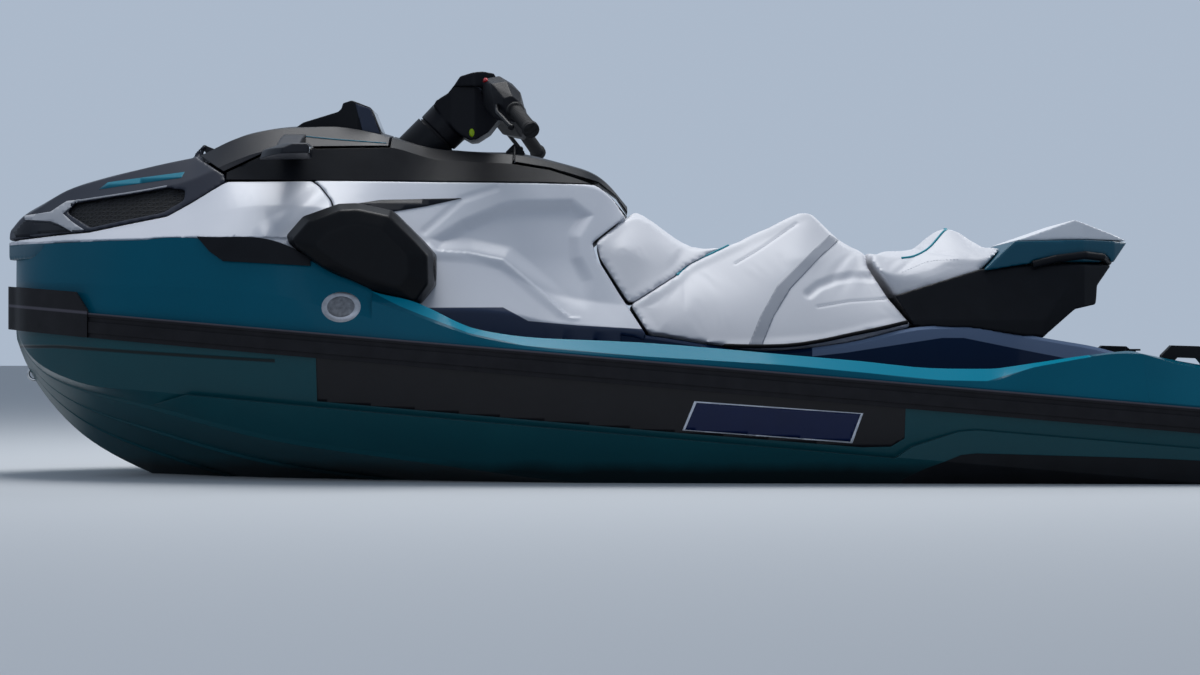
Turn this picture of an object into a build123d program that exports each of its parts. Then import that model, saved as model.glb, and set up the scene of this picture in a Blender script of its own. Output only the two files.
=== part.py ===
from build123d import *
import math
import os

# Three-seat personal watercraft, afloat. Millimetres; x aft, y to starboard, z up from the waterline.
SHEER_Z0 = 294.0
SHEER_SLOPE = 0.085
RAIL_HEIGHT = 62.0
RAIL_OUT = 14.0
DECK_JOINT_DROP = 20.0
TRANSOM_X = 1600.0
PAN_Z = 112.0
PUMP_X = 1180.0
PUMP_Z = -50.0
IMPELLER_R = 74.0
STEER_BASE = (-600.0, 0.0, 893.0)
STEER_TILT = 45.0
COLUMN_R = 20.0
COLUMN_END = -50.0
LID_HINGE = (-1202.0, 851.0)
GLOVE_HINGE = (-395.5, 855.0)
HINGE_PIN_R = 3.0
RUNNING_GAP = 0.06
SKIN = 26.0
SEAM = 6.0


def read(table, column, x):
    """Value of one column of a station table at x, smooth and without overshoot."""
    rows = [(row[0], row[column]) for row in table]
    if x <= rows[0][0]:
        return rows[0][1]
    if x >= rows[-1][0]:
        return rows[-1][1]
    slopes = [(b[1] - a[1]) / (b[0] - a[0]) for a, b in zip(rows, rows[1:])]
    tangents = [slopes[0]]
    for before, after in zip(slopes, slopes[1:]):
        tangents.append(0.0 if before * after <= 0 else 2 * before * after / (before + after))
    tangents.append(slopes[-1])
    i = max(k for k in range(len(rows) - 1) if rows[k][0] <= x)
    step = rows[i + 1][0] - rows[i][0]
    t = (x - rows[i][0]) / step
    value = rows[i][1] * (1 + 2 * t) * (1 - t) ** 2 + rows[i + 1][1] * t * t * (3 - 2 * t)
    return value + step * (tangents[i] * t * (1 - t) ** 2 - tangents[i + 1] * t * t * (1 - t))


def sheer(x):
    """Height of the top of the rub rail."""
    return SHEER_Z0 - SHEER_SLOPE * x


def ring(x, half):
    """Closed outline at station x from the half outline (y, z), centre line first and last."""
    right = [Vector(x, y, z) for y, z in half]
    left = [Vector(x, -y, z) for y, z in reversed(half) if y > 0.001]
    return Wire.make_polygon(right + left, close=True)


def loft_along(stations, half_of, ruled=False):
    """Loft through the outlines that half_of gives at the stations."""
    return Solid.make_loft([ring(x, half_of(x)) for x in stations], ruled)


def one(shape):
    """Largest solid of a boolean result."""
    return max(shape.solids(), key=lambda s: s.volume)


def side_prism(points, y0, y1):
    """Side view outline (x, z) drawn out from y0 to y1."""
    wire = Wire.make_polygon([Vector(x, y0, z) for x, z in points], close=True)
    return Solid.extrude(Face(wire), Vector(0, y1 - y0, 0))


def plan_prism(points, z0, z1):
    """Top view outline (x, y) drawn up from z0 to z1."""
    wire = Wire.make_polygon([Vector(x, y, z0) for x, y in points], close=True)
    return Solid.extrude(Face(wire), Vector(0, 0, z1 - z0))


def block(x0, x1, y0, y1, z0, z1):
    """Box between two corners."""
    return Solid.make_box(x1 - x0, y1 - y0, z1 - z0, Plane(origin=(x0, y0, z0)))


def rod(p, q, radius, end_radius=None):
    """Round bar from p to q, tapered if an end radius is given."""
    a, b = Vector(*p), Vector(*q)
    plane = Plane(origin=a, z_dir=b - a)
    if end_radius is None:
        return Solid.make_cylinder(radius, (b - a).length, plane)
    return Solid.make_cone(radius, end_radius, (b - a).length, plane)


def ball(p, radius):
    """Sphere about p."""
    return Solid.make_sphere(radius, Plane(origin=p), angle1=-90, angle2=90, angle3=360)


def tube_path(points, radius):
    """Bent round bar through the points."""
    body = rod(points[0], points[1], radius)
    for a, b in zip(points[1:], points[2:]):
        body = body.fuse(ball(a, radius)).fuse(rod(a, b, radius))
    return one(body)


def flip(shape):
    """Mirror image on the other side of the craft."""
    return shape.mirror(Plane.XZ)


nodes = {}


def both(name, port_shape):
    """Keep a port piece and its mirror image."""
    nodes[name + "_port"] = one(port_shape)
    nodes[name + "_starboard"] = one(flip(one(port_shape)))


# Half beam at the deck joint: x, half beam
BEAM = (
    (-1706, 10),
    (-1690, 60),
    (-1640, 160),
    (-1560, 246),
    (-1440, 345),
    (-1300, 418),
    (-1000, 515),
    (-600, 583),
    (-100, 610),
    (500, 614),
    (1100, 604),
    (1640, 568),
    (1725, 556),
)

# Hull: x, chine half width, chine z, keel z
HULL = (
    (-1706, 8, 372, 352),
    (-1680, 45, 330, 285),
    (-1620, 118, 272, 190),
    (-1500, 215, 222, 78),
    (-1300, 335, 176, -20),
    (-1000, 440, 105, -110),
    (-600, 490, 48, -155),
    (-100, 505, -12, -178),
    (500, 510, -38, -185),
    (1100, 503, -42, -185),
    (1640, 485, -42, -185),
)
HULL_STATIONS = (-1706, -1685, -1655, -1610, -1540, -1450, -1330, -1180, -1000, -800, -580, -340, -80,
                 200, 480, 760, 1040, 1320, 1600)


def beam(x):
    """Half beam at the deck joint."""
    return read(BEAM, 1, x)


def hull_half(x, bulge):
    """Half outline of the hull; the bulged one is the fuller."""
    wide, chine, keel = (read(HULL, k, x) for k in (1, 2, 3))
    grow = min(1.0, (x + 1740) / 500)
    top = sheer(x)
    crease = max(top - 182, chine + 24)
    inner, outer = 0.36, 0.68
    line = [(f, keel + f * (chine - keel)) for f in (inner, outer)]
    half = [(0.0, keel)]
    for f, z in line:
        half += [(f * wide, z), (f * wide + 26 * grow, z + 1), (f * wide + 28 * grow, z + 10 * grow)]
    half += [(wide, chine), (wide + 5 * grow, chine + 12 * grow)]
    half += [(beam(x) - (18 + bulge) * grow, crease), (beam(x) - 5 * grow, top - RAIL_HEIGHT - 2)]
    return half + [(beam(x), top - DECK_JOINT_DROP)]


hull_outer = loft_along(HULL_STATIONS, lambda x: hull_half(x, 2))
hull_inner = loft_along(HULL_STATIONS, lambda x: hull_half(x, 22))
CREASE = ((-1800, 60), (-1420, 120), (-1280, 190), (-1194, 214), (540, 64), (580, 92), (690, 128),
          (734, 132), (1800, 42))
below = side_prism(CREASE + ((1800, -400), (-1800, -400)), -800, 800)
above = side_prism(CREASE + ((1800, 800), (-1800, 800)), -800, 800)
hull = one(hull_outer & below) + one(hull_inner & above)
hull = one(hull)

# Footwell pan opening, pump tunnel, water duct and stern recess
PAN = (
    (-728, 515, 70),
    (-500, 540, 50),
    (-200, 556, 24),
    (100, 560, 20),
    (600, 562, 20),
    (1152, 550, 20),
)


def pan_half(x, out, top):
    """Half outline of the well in the hull under the footwells."""
    wide, foot = read(PAN, 1, x) + out, read(PAN, 2, x)
    return [(0.0, PAN_Z - out), (wide - foot, PAN_Z - out), (wide, PAN_Z + 1.1 * foot), (wide, top), (0.0, top)]


pan = loft_along((-728, -610, -489, -357, -220, -60, 100, 350, 650, 900, 1152), lambda x: pan_half(x, 2, 500))
hull = hull - pan
hull = hull - block(PUMP_X, 1300, -118, 118, -400, 70)
hull = hull - block(1300, 1800, -150, 150, -400, 102)
duct = side_prism(((700, -260), (1185, 28), (1185, -128), (1080, -260)), -82, 82)
hull = hull - duct
hull = hull - block(TRANSOM_X - 30, 1800, -200, 200, -400, 102)
SPONSON_TOP = ((560, 10), (612, 37), (698, 72), (734, 76), (1145, 64), (1610, 42), (1610, -200), (560, -200))
sponson_zone = side_prism(SPONSON_TOP, -800, -462)
sponson = (hull & sponson_zone)
hull = hull - sponson_zone - flip(sponson_zone)
nodes["hull"] = one(hull)
hull_whole = nodes["hull"]
both("sponson", sponson)

# Deck, bow part: x, height of its top edge
BOW_EDGE = ((-1706, 596), (-1160, 600), (-1000, 596), (-865, 534), (-726, 468))
BOW_STATIONS = (-1706, -1685, -1655, -1610, -1540, -1440, -1300, -1160, -1030, -940, -860, -790, -726)


def bow_half(x, out=0.0):
    """Half outline of the bow part of the deck."""
    low, top, edge = sheer(x) - DECK_JOINT_DROP, sheer(x), read(BOW_EDGE, 1, x)
    b = beam(x) + out
    tuck = min(46.0, 0.3 * b)
    return [(0.0, low), (b, low), (b - 1, top + 4), (b - 0.25 * tuck, top + 0.4 * (edge - top)),
            (b - tuck, edge + out), (0.0, edge + out)]


# Deck, middle part: x, outer edge drop-in and z, crest drop-in and z, floor z, pedestal half width and z
MIDDLE = (
    (-726, 22, 444, 46, 468, 190, 430, 428),
    (-610, 16, 404, 44, 437, 165, 420, 424),
    (-489, 10, 362, 46, 381, 150, 395, 418),
    (-357, 8, 336, 46, 357, 144, 362, 392),
    (-60, 6, 309, 46, 342, 140, 345, 362),
    (250, 6, 290, 44, 316, 140, 348, 322),
    (446, 6, 272, 44, 299, 140, 335, 342),
    (650, 7, 252, 46, 280, 142, 310, 384),
    (760, 12, 250, 50, 279, 150, 300, 386),
    (873, 34, 282, 60, 292, 172, 300, 368),
    (984, 56, 302, 84, 308, 212, 330, 348),
    (1070, 70, 315, 104, 318, 262, 352, 332),
    (1150, 78, 315, 116, 317, 298, 370, 312),
)
MIDDLE_STATIONS = (-726, -668, -610, -550, -489, -420, -357, -220, -60, 100, 250, 350, 446, 550, 650,
                   715, 760, 815, 873, 930, 984, 1070, 1150)


def middle_half(x):
    """Half outline of the middle part of the deck, with a footwell."""
    outer_in, outer_z, crest_in, crest_z, floor, ped_y, ped_z = (read(MIDDLE, k, x) for k in range(1, 8))
    b, low, top = beam(x), sheer(x) - DECK_JOINT_DROP, sheer(x)
    return pan_half(x, 0, low)[:-1] + [(b, low), (b - 1, top + 3), (b - outer_in, outer_z),
            (b - crest_in, crest_z), (b - crest_in - 16, crest_z - 1), (b - crest_in - 34, floor + 10),
            (b - crest_in - 46, floor), (ped_y + 16, floor), (ped_y + 4, floor + 8), (ped_y - 8, ped_z - 8),
            (ped_y - 16, ped_z), (0.0, ped_z)]


# Deck, stern part: x, outer edge drop-in and z, crest drop-in and z, platform z
STERN = (
    (1150, 78, 315, 116, 317, 298),
    (1236, 84, 292, 122, 300, 284),
    (1400, 80, 262, 118, 272, 264),
    (1560, 66, 240, 104, 250, 248),
    (1725, 50, 220, 88, 232, 232),
)


def stern_half(x):
    """Half outline of the stern part of the deck, with the platform."""
    outer_in, outer_z, crest_in, crest_z, flat = (read(STERN, k, x) for k in range(1, 6))
    b, low, top = beam(x), sheer(x) - DECK_JOINT_DROP, sheer(x)
    return [(0.0, low), (b, low), (b - 1, top + 4), (b - outer_in, outer_z), (b - crest_in, crest_z),
            (b - crest_in - 14, flat), (0.0, flat)]


deck_bow = loft_along(BOW_STATIONS, bow_half)
deck_middle = loft_along(MIDDLE_STATIONS, middle_half)
deck_stern = loft_along((1150, 1193, 1236, 1318, 1400, 1480, 1560, 1642, 1725), stern_half)

# Upper fore body, one smooth master that is parted into hood, lid, console and side panels.
# x, bottom y z, waist y z, panel edge y z, crease y z, shoulder y z, centre z
FORE = (
    (-1724, 20, 604, 19, 606, 17, 610, 13, 620, 7, 634, 638),
    (-1690, 72, 598, 68, 606, 60, 618, 46, 640, 24, 668, 676),
    (-1635, 140, 598, 124, 606, 100, 619, 80, 655, 50, 698, 710),
    (-1560, 200, 598, 188, 608, 172, 621, 135, 682, 84, 738, 750),
    (-1440, 300, 598, 276, 612, 252, 626, 186, 712, 116, 772, 786),
    (-1300, 372, 598, 330, 625, 286, 652, 222, 734, 138, 804, 817),
    (-1205, 412, 598, 345, 648, 274, 698, 232, 760, 150, 824, 838),
    (-1120, 436, 598, 350, 672, 254, 750, 222, 800, 152, 864, 884),
    (-1000, 452, 597, 350, 688, 248, 755, 208, 838, 146, 894, 910),
    (-850, 446, 536, 338, 678, 244, 756, 192, 846, 134, 900, 916),
    (-720, 440, 466, 318, 636, 226, 757, 176, 846, 118, 876, 888),
    (-600, 424, 424, 302, 600, 198, 757, 150, 816, 98, 846, 856),
    (-500, 400, 424, 294, 560, 180, 757, 132, 810, 88, 838, 846),
    (-400, 372, 416, 288, 515, 162, 757, 120, 806, 82, 832, 843),
    (-300, 354, 394, 286, 470, 146, 757, 112, 792, 78, 814, 823),
    (-180, 346, 382, 286, 446, 130, 740, 104, 758, 74, 776, 783),
    (-90, 340, 374, 286, 436, 110, 660, 92, 674, 64, 684, 690),
    (-40, 336, 368, 284, 432, 104, 610, 86, 622, 60, 630, 634),
)
FORE_STATIONS = (-1724, -1708, -1690, -1665, -1635, -1600, -1560, -1500, -1440, -1370, -1300, -1250, -1205,
                 -1160, -1120, -1060, -1000, -925, -850, -785, -720, -660, -600, -550, -500, -450, -400,
                 -350, -300, -240, -180, -135, -90, -40)


def fore_half(x, inset=0.0):
    """Half outline of the fore body, moved in by the inset; its foot is inside the deck."""
    v = [read(FORE, k, x) for k in range(1, 12)]
    cut = min(inset, 0.5 * v[4]) if inset > 0 else inset
    half = [(0.0, v[1] - 60), (v[0] - cut, v[1] - 60), (v[0] - cut, v[1]), (v[2] - cut, v[3] - 0.4 * cut)]
    half += [(v[4] - cut, v[5] - 0.6 * cut), (v[6] - cut, v[7] - 0.7 * cut)]
    return half + [(max(v[8] - cut, 2), v[9] - cut), (0.0, v[10] - cut)]


fore = loft_along(FORE_STATIONS, fore_half)
core_stations = [x for x in FORE_STATIONS if x >= -1635]
core = loft_along(core_stations, lambda x: fore_half(x, SKIN))
AFT_EDGE = ((-84, 700), (-102, 673), (-192, 598), (-180, 554), (-52, 355), (-52, 300))
core = core & side_prism(AFT_EDGE + ((-1640, 300), (-1640, 1000), (-84, 1000)), -600, 600)
BIN = (-1120, -770, 150, 640)
GLOVE = (-372, -205, 84, 640)
bin_hole = block(BIN[0], BIN[1], -BIN[2], BIN[2], BIN[3], 1000)
glove_hole = block(GLOVE[0], GLOVE[1], -GLOVE[2], GLOVE[2], GLOVE[3], 1000)

stern_plan = plan_prism(((-1800, -700), (1600, -700), (1690, -560), (1725, -470), (1725, -210), (1690, -200),
                         (1690, 200), (1725, 210), (1725, 470), (1690, 560), (1600, 700), (-1800, 700)), -300, 900)
deck = (deck_bow + deck_middle + deck_stern) & stern_plan
deck = one(deck + core)
deck = one(deck - bin_hole - glove_hole)
nodes["deck"] = deck

# Upper skins over the core: hood, console, side panels, lids
W_LINE = ((-1760, 607), (-1700, 612), (-1560, 622), (-1471, 626), (-1262, 664), (-1191, 706), (-1123, 750))
WAIST = ((-903, 756), (-335, 757), (-177, 753), (-133, 720), (-99, 672), (-84, 700))
shell = fore & side_prism(AFT_EDGE + ((-1800, 300), (-1800, 1000), (-84, 1000)), -600, 600)
core_whole = loft_along(core_stations, lambda x: fore_half(x, SKIN))
shell = one(shell - deck_bow - deck_middle)
shell = one(shell - core_whole)
under_lid = loft_along(core_stations, lambda x: fore_half(x, SKIN - SEAM))

lid_zone = ((-1199, 823), (-1130, 779), (-1000, 843), (-716, 849), (-716, 1000), (-1199, 1000))
glove_zone = ((-392, 900), (-392, 812), (-300, 797), (-240, 779), (-176, 760), (-130, 725), (-101, 682),
              (-101, 900))
lid = (fore & side_prism(lid_zone, -400, 400)) - under_lid
glove_lid = (fore & side_prism(glove_zone, -400, 400)) - under_lid
nodes["hood"] = one(shell & side_prism(W_LINE + ((-1127, 770), (-1206, 818), (-1206, 900), (-1760, 900)), -600, 600))
gap_lid = ((-1210, 817), (-1130, 771), (-1001, 836), (-710, 843), (-710, 1000), (-1210, 1000))
gap_glove = ((-399, 900), (-399, 805), (-303, 790), (-243, 771), (-186, 751), (-144, 709), (-116, 676),
             (-92, 680), (-92, 900))
console = shell & side_prism(((-1121, 757),) + WAIST + ((-84, 1000), (-1121, 1000)), -600, 600)
console = console - side_prism(gap_lid, -400, 400) - side_prism(gap_glove, -400, 400)
front_side = ((-1760, 560), (-1760, 605), (-1700, 609), (-1560, 619), (-1471, 623), (-1264, 661), (-1193, 703),
              (-1125, 747), (-1118, 751), (-905, 753), (-883, 738), (-851, 700), (-802, 560))
knee_side = ((-798, 560), (-847, 700), (-879, 738), (-900, 754), (-335, 755), (-178, 751), (-135, 718),
             (-103, 670), (-84, 600), (-40, 300), (-798, 300))
front_panel = shell & side_prism(front_side, -600, -1)
both("front_panel", front_panel)
both("knee_panel", shell & side_prism(knee_side, -600, -1))

# Visor and mirrors on the lid
visor = side_prism(((-868, 890), (-836, 966), (-815, 973), (-766, 955), (-731, 880), (-731, 860)), -118, 118)
visor = visor & plan_prism(((-880, -118), (-800, -118), (-730, -92), (-730, 92), (-800, 118), (-880, 118)),
                           600, 1000)
nodes["visor"] = one(visor - fore)
mirror = side_prism(((-1026, 801), (-1018, 824), (-966, 841), (-900, 842), (-888, 829), (-895, 803)), -448, -330)
ARM = ((-150, 882), (-250, 864), (-336, 838), (-336, 812), (-262, 830), (-214, 853), (-150, 856))
mirror = mirror + Solid.extrude(Face(Wire.make_polygon([Vector(-984, y, z) for y, z in ARM], close=True)),
                                Vector(58, 0, 0))
both("mirror", mirror - fore)
nodes["console"] = one(console)
nodes["front_lid"] = one(lid)
nodes["glovebox_lid"] = one(glove_lid)

# Hood intakes: dark grilles set back in the hood
INTAKE = ((-1545, 677), (-1527, 702), (-1361, 723), (-1273, 737), (-1226, 731), (-1226, 704), (-1277, 672),
          (-1470, 636))
GRILLE_BACK = 9.0
intake = side_prism(INTAKE, -600, -20)
nodes["hood"] = one(nodes["hood"] - intake - flip(intake))
set_back = loft_along(core_stations, lambda x: fore_half(x, GRILLE_BACK))
both("intake_grille", (set_back & intake) - core_whole - deck_bow)

# Lid hinges: fixed side, lid side, pivot, foot on the fixed side (x, z), foot on the lid (x, z), y of the parts
HINGES = (
    ("hood", "front_lid", LID_HINGE, ((-1226, 822), (-1226, 836)), ((-1172, 846), (-1172, 834), (-1199, 828)),
     ((44, 50), (78, 84)), (55, 73)),
    ("console", "glovebox_lid", GLOVE_HINGE, ((-418, 828), (-418, 842)), ((-370, 844), (-370, 832), (-392, 828)),
     ((20, 26), (46, 52)), (31, 41)),
)
LUG_R = 7.0


def hinge_leaf(pivot, foot, y0, y1):
    """Rounded lug about the pivot with its foot in a panel."""
    px, pz = pivot
    across = rod((px, y0, pz), (px, y1, pz), LUG_R)
    ends = [(px - 0.7 * LUG_R, pz + 0.7 * LUG_R), (px + 0.7 * LUG_R, pz + 0.7 * LUG_R)]
    if foot[0][0] < px:
        outline = list(foot) + ends[:1] + [(px + 0.2 * LUG_R, pz), (px - 0.5 * LUG_R, pz - 0.85 * LUG_R)]
    else:
        outline = list(foot) + [(foot[-1][0], pz - 1.9 * LUG_R), (px - 0.2 * LUG_R, pz - 0.9 * LUG_R), (px, pz)]
        outline += ends[1:]
    return across + side_prism(outline, y0, y1)


for fixed, moving, pivot, fixed_foot, lid_foot, lug_spans, knuckle_span in HINGES:
    for side in (-1, 1):
        spans = [sorted((side * a, side * b)) for a, b in lug_spans]
        pin_y = (min(spans[0][0], spans[1][0]), max(spans[0][1], spans[1][1]))
        for y0, y1 in spans:
            nodes[fixed] = nodes[fixed] + hinge_leaf(pivot, fixed_foot, y0, y1)
        nodes[fixed] = nodes[fixed] + rod((pivot[0], pin_y[0], pivot[1]), (pivot[0], pin_y[1], pivot[1]), HINGE_PIN_R)
        y0, y1 = sorted(side * y for y in knuckle_span)
        knuckle = hinge_leaf(pivot, lid_foot, y0, y1)
        bore = rod((pivot[0], y0 - 1, pivot[1]), (pivot[0], y1 + 1, pivot[1]), HINGE_PIN_R + RUNNING_GAP)
        nodes[moving] = (nodes[moving] + knuckle) - bore
    nodes[fixed] = one(nodes[fixed])
    nodes[moving] = one(nodes[moving])

# Storage tubs
bin_out = block(BIN[0] + 1, BIN[1] - 1, 1 - BIN[2], BIN[2] - 1, BIN[3] + 0.0, 826)
bin_in = block(BIN[0] + 5, BIN[1] - 5, 5 - BIN[2], BIN[2] - 5, BIN[3] + 4, 900)
nodes["storage_bin"] = one((bin_out - bin_in) & core_whole)
glove_out = block(GLOVE[0] + 1, GLOVE[1] - 1, 1 - GLOVE[2], GLOVE[2] - 1, GLOVE[3], 740)
glove_in = block(GLOVE[0] + 5, GLOVE[1] - 5, 5 - GLOVE[2], GLOVE[2] - 5, GLOVE[3] + 4, 900)
nodes["glovebox_tub"] = one((glove_out - glove_in) & core_whole)

# Rub rail and bow bumper
RAIL_X = [-1706, -1700, -1690, -1670, -1640, -1600, -1550, -1490, -1400, -1300, -1150, -1000, -800, -600, -350,
          -100, 200, 500, 800, 1100, 1350, 1560]


def rail_face(out, z):
    """Face inside the plan curve moved out, with rounded stern quarters."""
    side = [(x - (out if x < -1690 else 0.4 * out if x < -1600 else 0), beam(x) + out) for x in RAIL_X[1:]]
    curve = [Vector(x, -y, z) for x, y in reversed(side)] + [Vector(-1708 - out, 0, z)]
    curve += [Vector(x, y, z) for x, y in side]
    end = [(1640, 560 + out), (1682, 528 + out), (1702 + out, 470), (1711 + out, 400)]
    edge = Edge.make_spline(curve)
    back = [Vector(1560, beam(1560) + out, z)] + [Vector(x, y, z) for x, y in end]
    back += [Vector(x, -y, z) for x, y in reversed(end)] + [Vector(1560, -beam(1560) - out, z)]
    return Face(Wire([edge] + [Edge.make_line(p, q) for p, q in zip(back, back[1:])]))


def rail_ring(out, inside, low, high):
    """Band round the plan curve between two heights measured from the sheer."""
    outer = Solid.extrude(rail_face(out, -200), Vector(0, 0, 1000))
    inner = Solid.extrude(rail_face(-inside, -200), Vector(0, 0, 1000))
    slab = side_prism(((-1800, sheer(-1800) + low), (1800, sheer(1800) + low), (1800, sheer(1800) + high),
                       (-1800, sheer(-1800) + high)), -800, 800)
    return (outer - inner) & slab


deck = nodes["deck"]
rail = rail_ring(RAIL_OUT - 4, 6, -RAIL_HEIGHT, 0) + rail_ring(RAIL_OUT, 6, -10, 0) \
    + rail_ring(RAIL_OUT, 6, -50, -22)
rail = rail - hull_whole - deck
side_rail = rail & block(-1452, 1800, -800, -150, -400, 900)
both("rub_rail", side_rail)
bumper_band = rail_ring(RAIL_OUT + 3, 6, -RAIL_HEIGHT, 50)
bumper = bumper_band & side_prism(((-1800, 330), (-1800, 600), (-1500, 485), (-1454, 424), (-1454, 330)), -800, 800)
bumper = bumper - hull_whole - deck
nodes["bow_bumper"] = one(bumper)

# Speaker pods and flank vents
POD = ((-943, 606), (-902, 653), (-815, 684), (-767, 686), (-684, 668), (-613, 598), (-581, 562), (-579, 485),
       (-614, 437), (-735, 470), (-864, 530), (-936, 585))


def pod_wire(y, scale, shift_x, shift_z):
    """Pod outline at y, scaled about its middle."""
    cx, cz = -755 + shift_x, 575 + shift_z
    return Wire.make_polygon([Vector(cx + (x + 755) * scale, y, cz + (z - 575) * scale) for x, z in POD], close=True)


pod = Solid.make_loft([pod_wire(-300, 1.0, 0, 0), pod_wire(-470, 1.0, 0, 0), pod_wire(-530, 0.9, 6, -8),
                       pod_wire(-548, 0.62, 10, -14)], True)
pod = pod - fore - deck
both("speaker_pod", pod)
vent_skin = loft_along(BOW_STATIONS, lambda x: bow_half(x, 5))
vent = (vent_skin - deck) & side_prism(((-1168, 604), (-1135, 568), (-1098, 543), (-880, 530), (-880, 615),
                                        (-1168, 615)), -700, -330)
vent = vent - fore - pod
both("flank_vent", vent)

# Seats: x, foot y z, side y z, flank y z, shoulder y z, centre z
SEAT = (
    (-200, 345, 388, 290, 446, 215, 590, 130, 720, 730),
    (-100, 340, 378, 286, 438, 205, 585, 105, 668, 686),
    (-61, 337, 371, 287, 432, 198, 570, 100, 664, 682),
    (-14, 334, 362, 290, 425, 190, 545, 104, 636, 649),
    (44, 334, 352, 294, 418, 186, 525, 122, 596, 606),
    (94, 338, 344, 298, 412, 190, 520, 130, 587, 593),
    (152, 346, 334, 302, 408, 200, 520, 132, 592, 592),
    (217, 350, 328, 300, 405, 205, 530, 106, 622, 598),
    (280, 350, 328, 292, 410, 200, 545, 86, 652, 622),
    (345, 344, 334, 284, 420, 190, 560, 56, 682, 668),
    (380, 338, 341, 280, 425, 185, 555, 60, 678, 684),
    (412, 333, 348, 276, 428, 182, 540, 80, 648, 656),
    (452, 326, 356, 272, 430, 180, 525, 100, 606, 618),
    (510, 316, 370, 268, 432, 190, 515, 130, 572, 586),
    (560, 308, 380, 266, 436, 205, 505, 150, 555, 572),
    (612, 300, 392, 262, 440, 215, 500, 160, 548, 565),
)
SEAT_STATIONS = (-200, -150, -100, -61, -14, 15, 44, 94, 152, 185, 217, 280, 315, 345, 380, 412, 452, 510, 560,
                 612)


def seat_half(x):
    """Half outline of the long seat; its foot reaches into the deck."""
    v = [read(SEAT, k, x) for k in range(1, 10)]
    return [(0.0, v[1] - 40), (v[0] - 26, v[1] - 40), (v[0] - 22, v[1]), (v[0], v[1]), (v[2], v[3]), (v[4], v[5]),
            (v[6], v[7]), (0.0, v[8])]


seat = loft_along(SEAT_STATIONS, seat_half)
seat = seat & side_prism(((-76, 900), (-76, 700), (-94, 676), (-183, 600), (-172, 558), (-44, 357), (-44, 280),
                          (612, 280), (612, 388), (560, 455), (517, 536), (516, 572), (510, 610), (510, 900)),
                         -600, 600)
seat = one(seat - deck)
CUSHION_LINE = ((-300, 292), (-103, 434), (26, 516), (57, 544), (120, 575), (217, 622), (345, 682), (420, 724))
cushion_gap = 0.2
driver = seat & side_prism(CUSHION_LINE + ((420, 900), (-300, 900)), -600, 600)
lower_line = tuple((x + cushion_gap, z - cushion_gap) for x, z in CUSHION_LINE)
body_seat = seat & side_prism(lower_line + ((700, 724), (700, 200), (-300, 200)), -600, 600)
nodes["driver_seat"] = one(driver)
nodes["middle_seat"] = one(body_seat)

# Rear seat: x, foot y z, side y z, shoulder y z, centre z
REAR_SEAT = (
    (515, 190, 430, 205, 520, 140, 574, 582),
    (560, 212, 430, 212, 520, 150, 571, 578),
    (610, 226, 430, 216, 518, 150, 570, 578),
    (660, 238, 440, 220, 528, 142, 580, 588),
    (722, 246, 460, 218, 556, 84, 636, 642),
    (745, 248, 470, 218, 562, 84, 638, 644),
    (815, 250, 490, 222, 560, 140, 592, 599),
    (880, 246, 510, 216, 560, 150, 586, 592),
    (905, 240, 510, 214, 560, 150, 586, 592),
)
rear_seat = loft_along((515, 560, 610, 660, 692, 722, 745, 780, 815, 850, 880, 905),
                       lambda x: [(0.0, read(REAR_SEAT, 2, x)), (read(REAR_SEAT, 1, x), read(REAR_SEAT, 2, x)),
                                  (read(REAR_SEAT, 3, x), read(REAR_SEAT, 4, x)),
                                  (read(REAR_SEAT, 5, x), read(REAR_SEAT, 6, x)), (0.0, read(REAR_SEAT, 7, x))])
rear_seat = rear_seat & side_prism(((522, 620), (526, 572), (527, 548), (586, 456), (663, 480), (780, 517),
                                    (792, 523), (872, 598), (872, 700), (522, 700)), -400, 400)
nodes["rear_seat"] = one(rear_seat)

# Rear base, grab handle cover and grab bar
base = side_prism(((574, 462), (619, 388), (700, 300), (1000, 300), (956, 366), (962, 370), (1034, 428), (1095, 441),
                   (1099, 489), (1143, 544), (941, 543), (796, 530), (780, 526), (663, 490), (586, 466)), -400, 400)
base = base & Solid.extrude(Face(Wire.make_polygon([Vector(500, y, z) for y, z in (
    (-300, 300), (300, 300), (292, 400), (248, 520), (236, 560), (-236, 560), (-248, 520), (-292, 400))],
    close=True)), Vector(800, 0, 0))
base = base & plan_prism(((560, -320), (900, -320), (1060, -236), (1150, -160), (1150, 160), (1060, 236),
                          (900, 320), (560, 320)), 200, 700)
base = one(base - deck - rear_seat)
cover_plan = ((780, -262), (930, -252), (1060, -222), (1150, -165), (1198, -110), (1198, 110), (1150, 165),
              (1060, 222), (930, 252), (780, 262))
cover = side_prism(((799, 525), (878, 600), (1072, 606), (1192, 603), (1147, 549), (941, 548)), -400, 400)
cover = cover & plan_prism(cover_plan, 400, 800)
cap = side_prism(((880, 601), (1039, 657), (1196, 606), (1072, 607)), -400, 400)
cap_plan = tuple((x, 0.94 * y) for x, y in cover_plan)
cap = cap & plan_prism(cap_plan, 400, 800)
bar_half = [(925, -254, 541), (985, -251, 556), (1062, -232, 566), (1112, -196, 562), (1136, -150, 552),
            (1142, -60, 546)]
bar_points = bar_half + [(x, -y, z) for x, y, z in reversed(bar_half)]
grab_bar = tube_path(bar_points, 10)
bar_groove = tube_path(bar_points, 10.5)
nodes["rear_base"] = one(base - bar_groove)
nodes["handle_cover"] = one(cover - bar_groove - base - rear_seat)
nodes["handle_cap"] = one(cap - cover)
nodes["grab_bar"] = grab_bar

# Steering: stations are measured along the tilted column
TILT = math.radians(STEER_TILT)
AXIS = (math.sin(TILT), 0.0, math.cos(TILT))


def along(distance):
    """Point on the steering axis."""
    return tuple(STEER_BASE[k] + distance * AXIS[k] for k in range(3))


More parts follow.
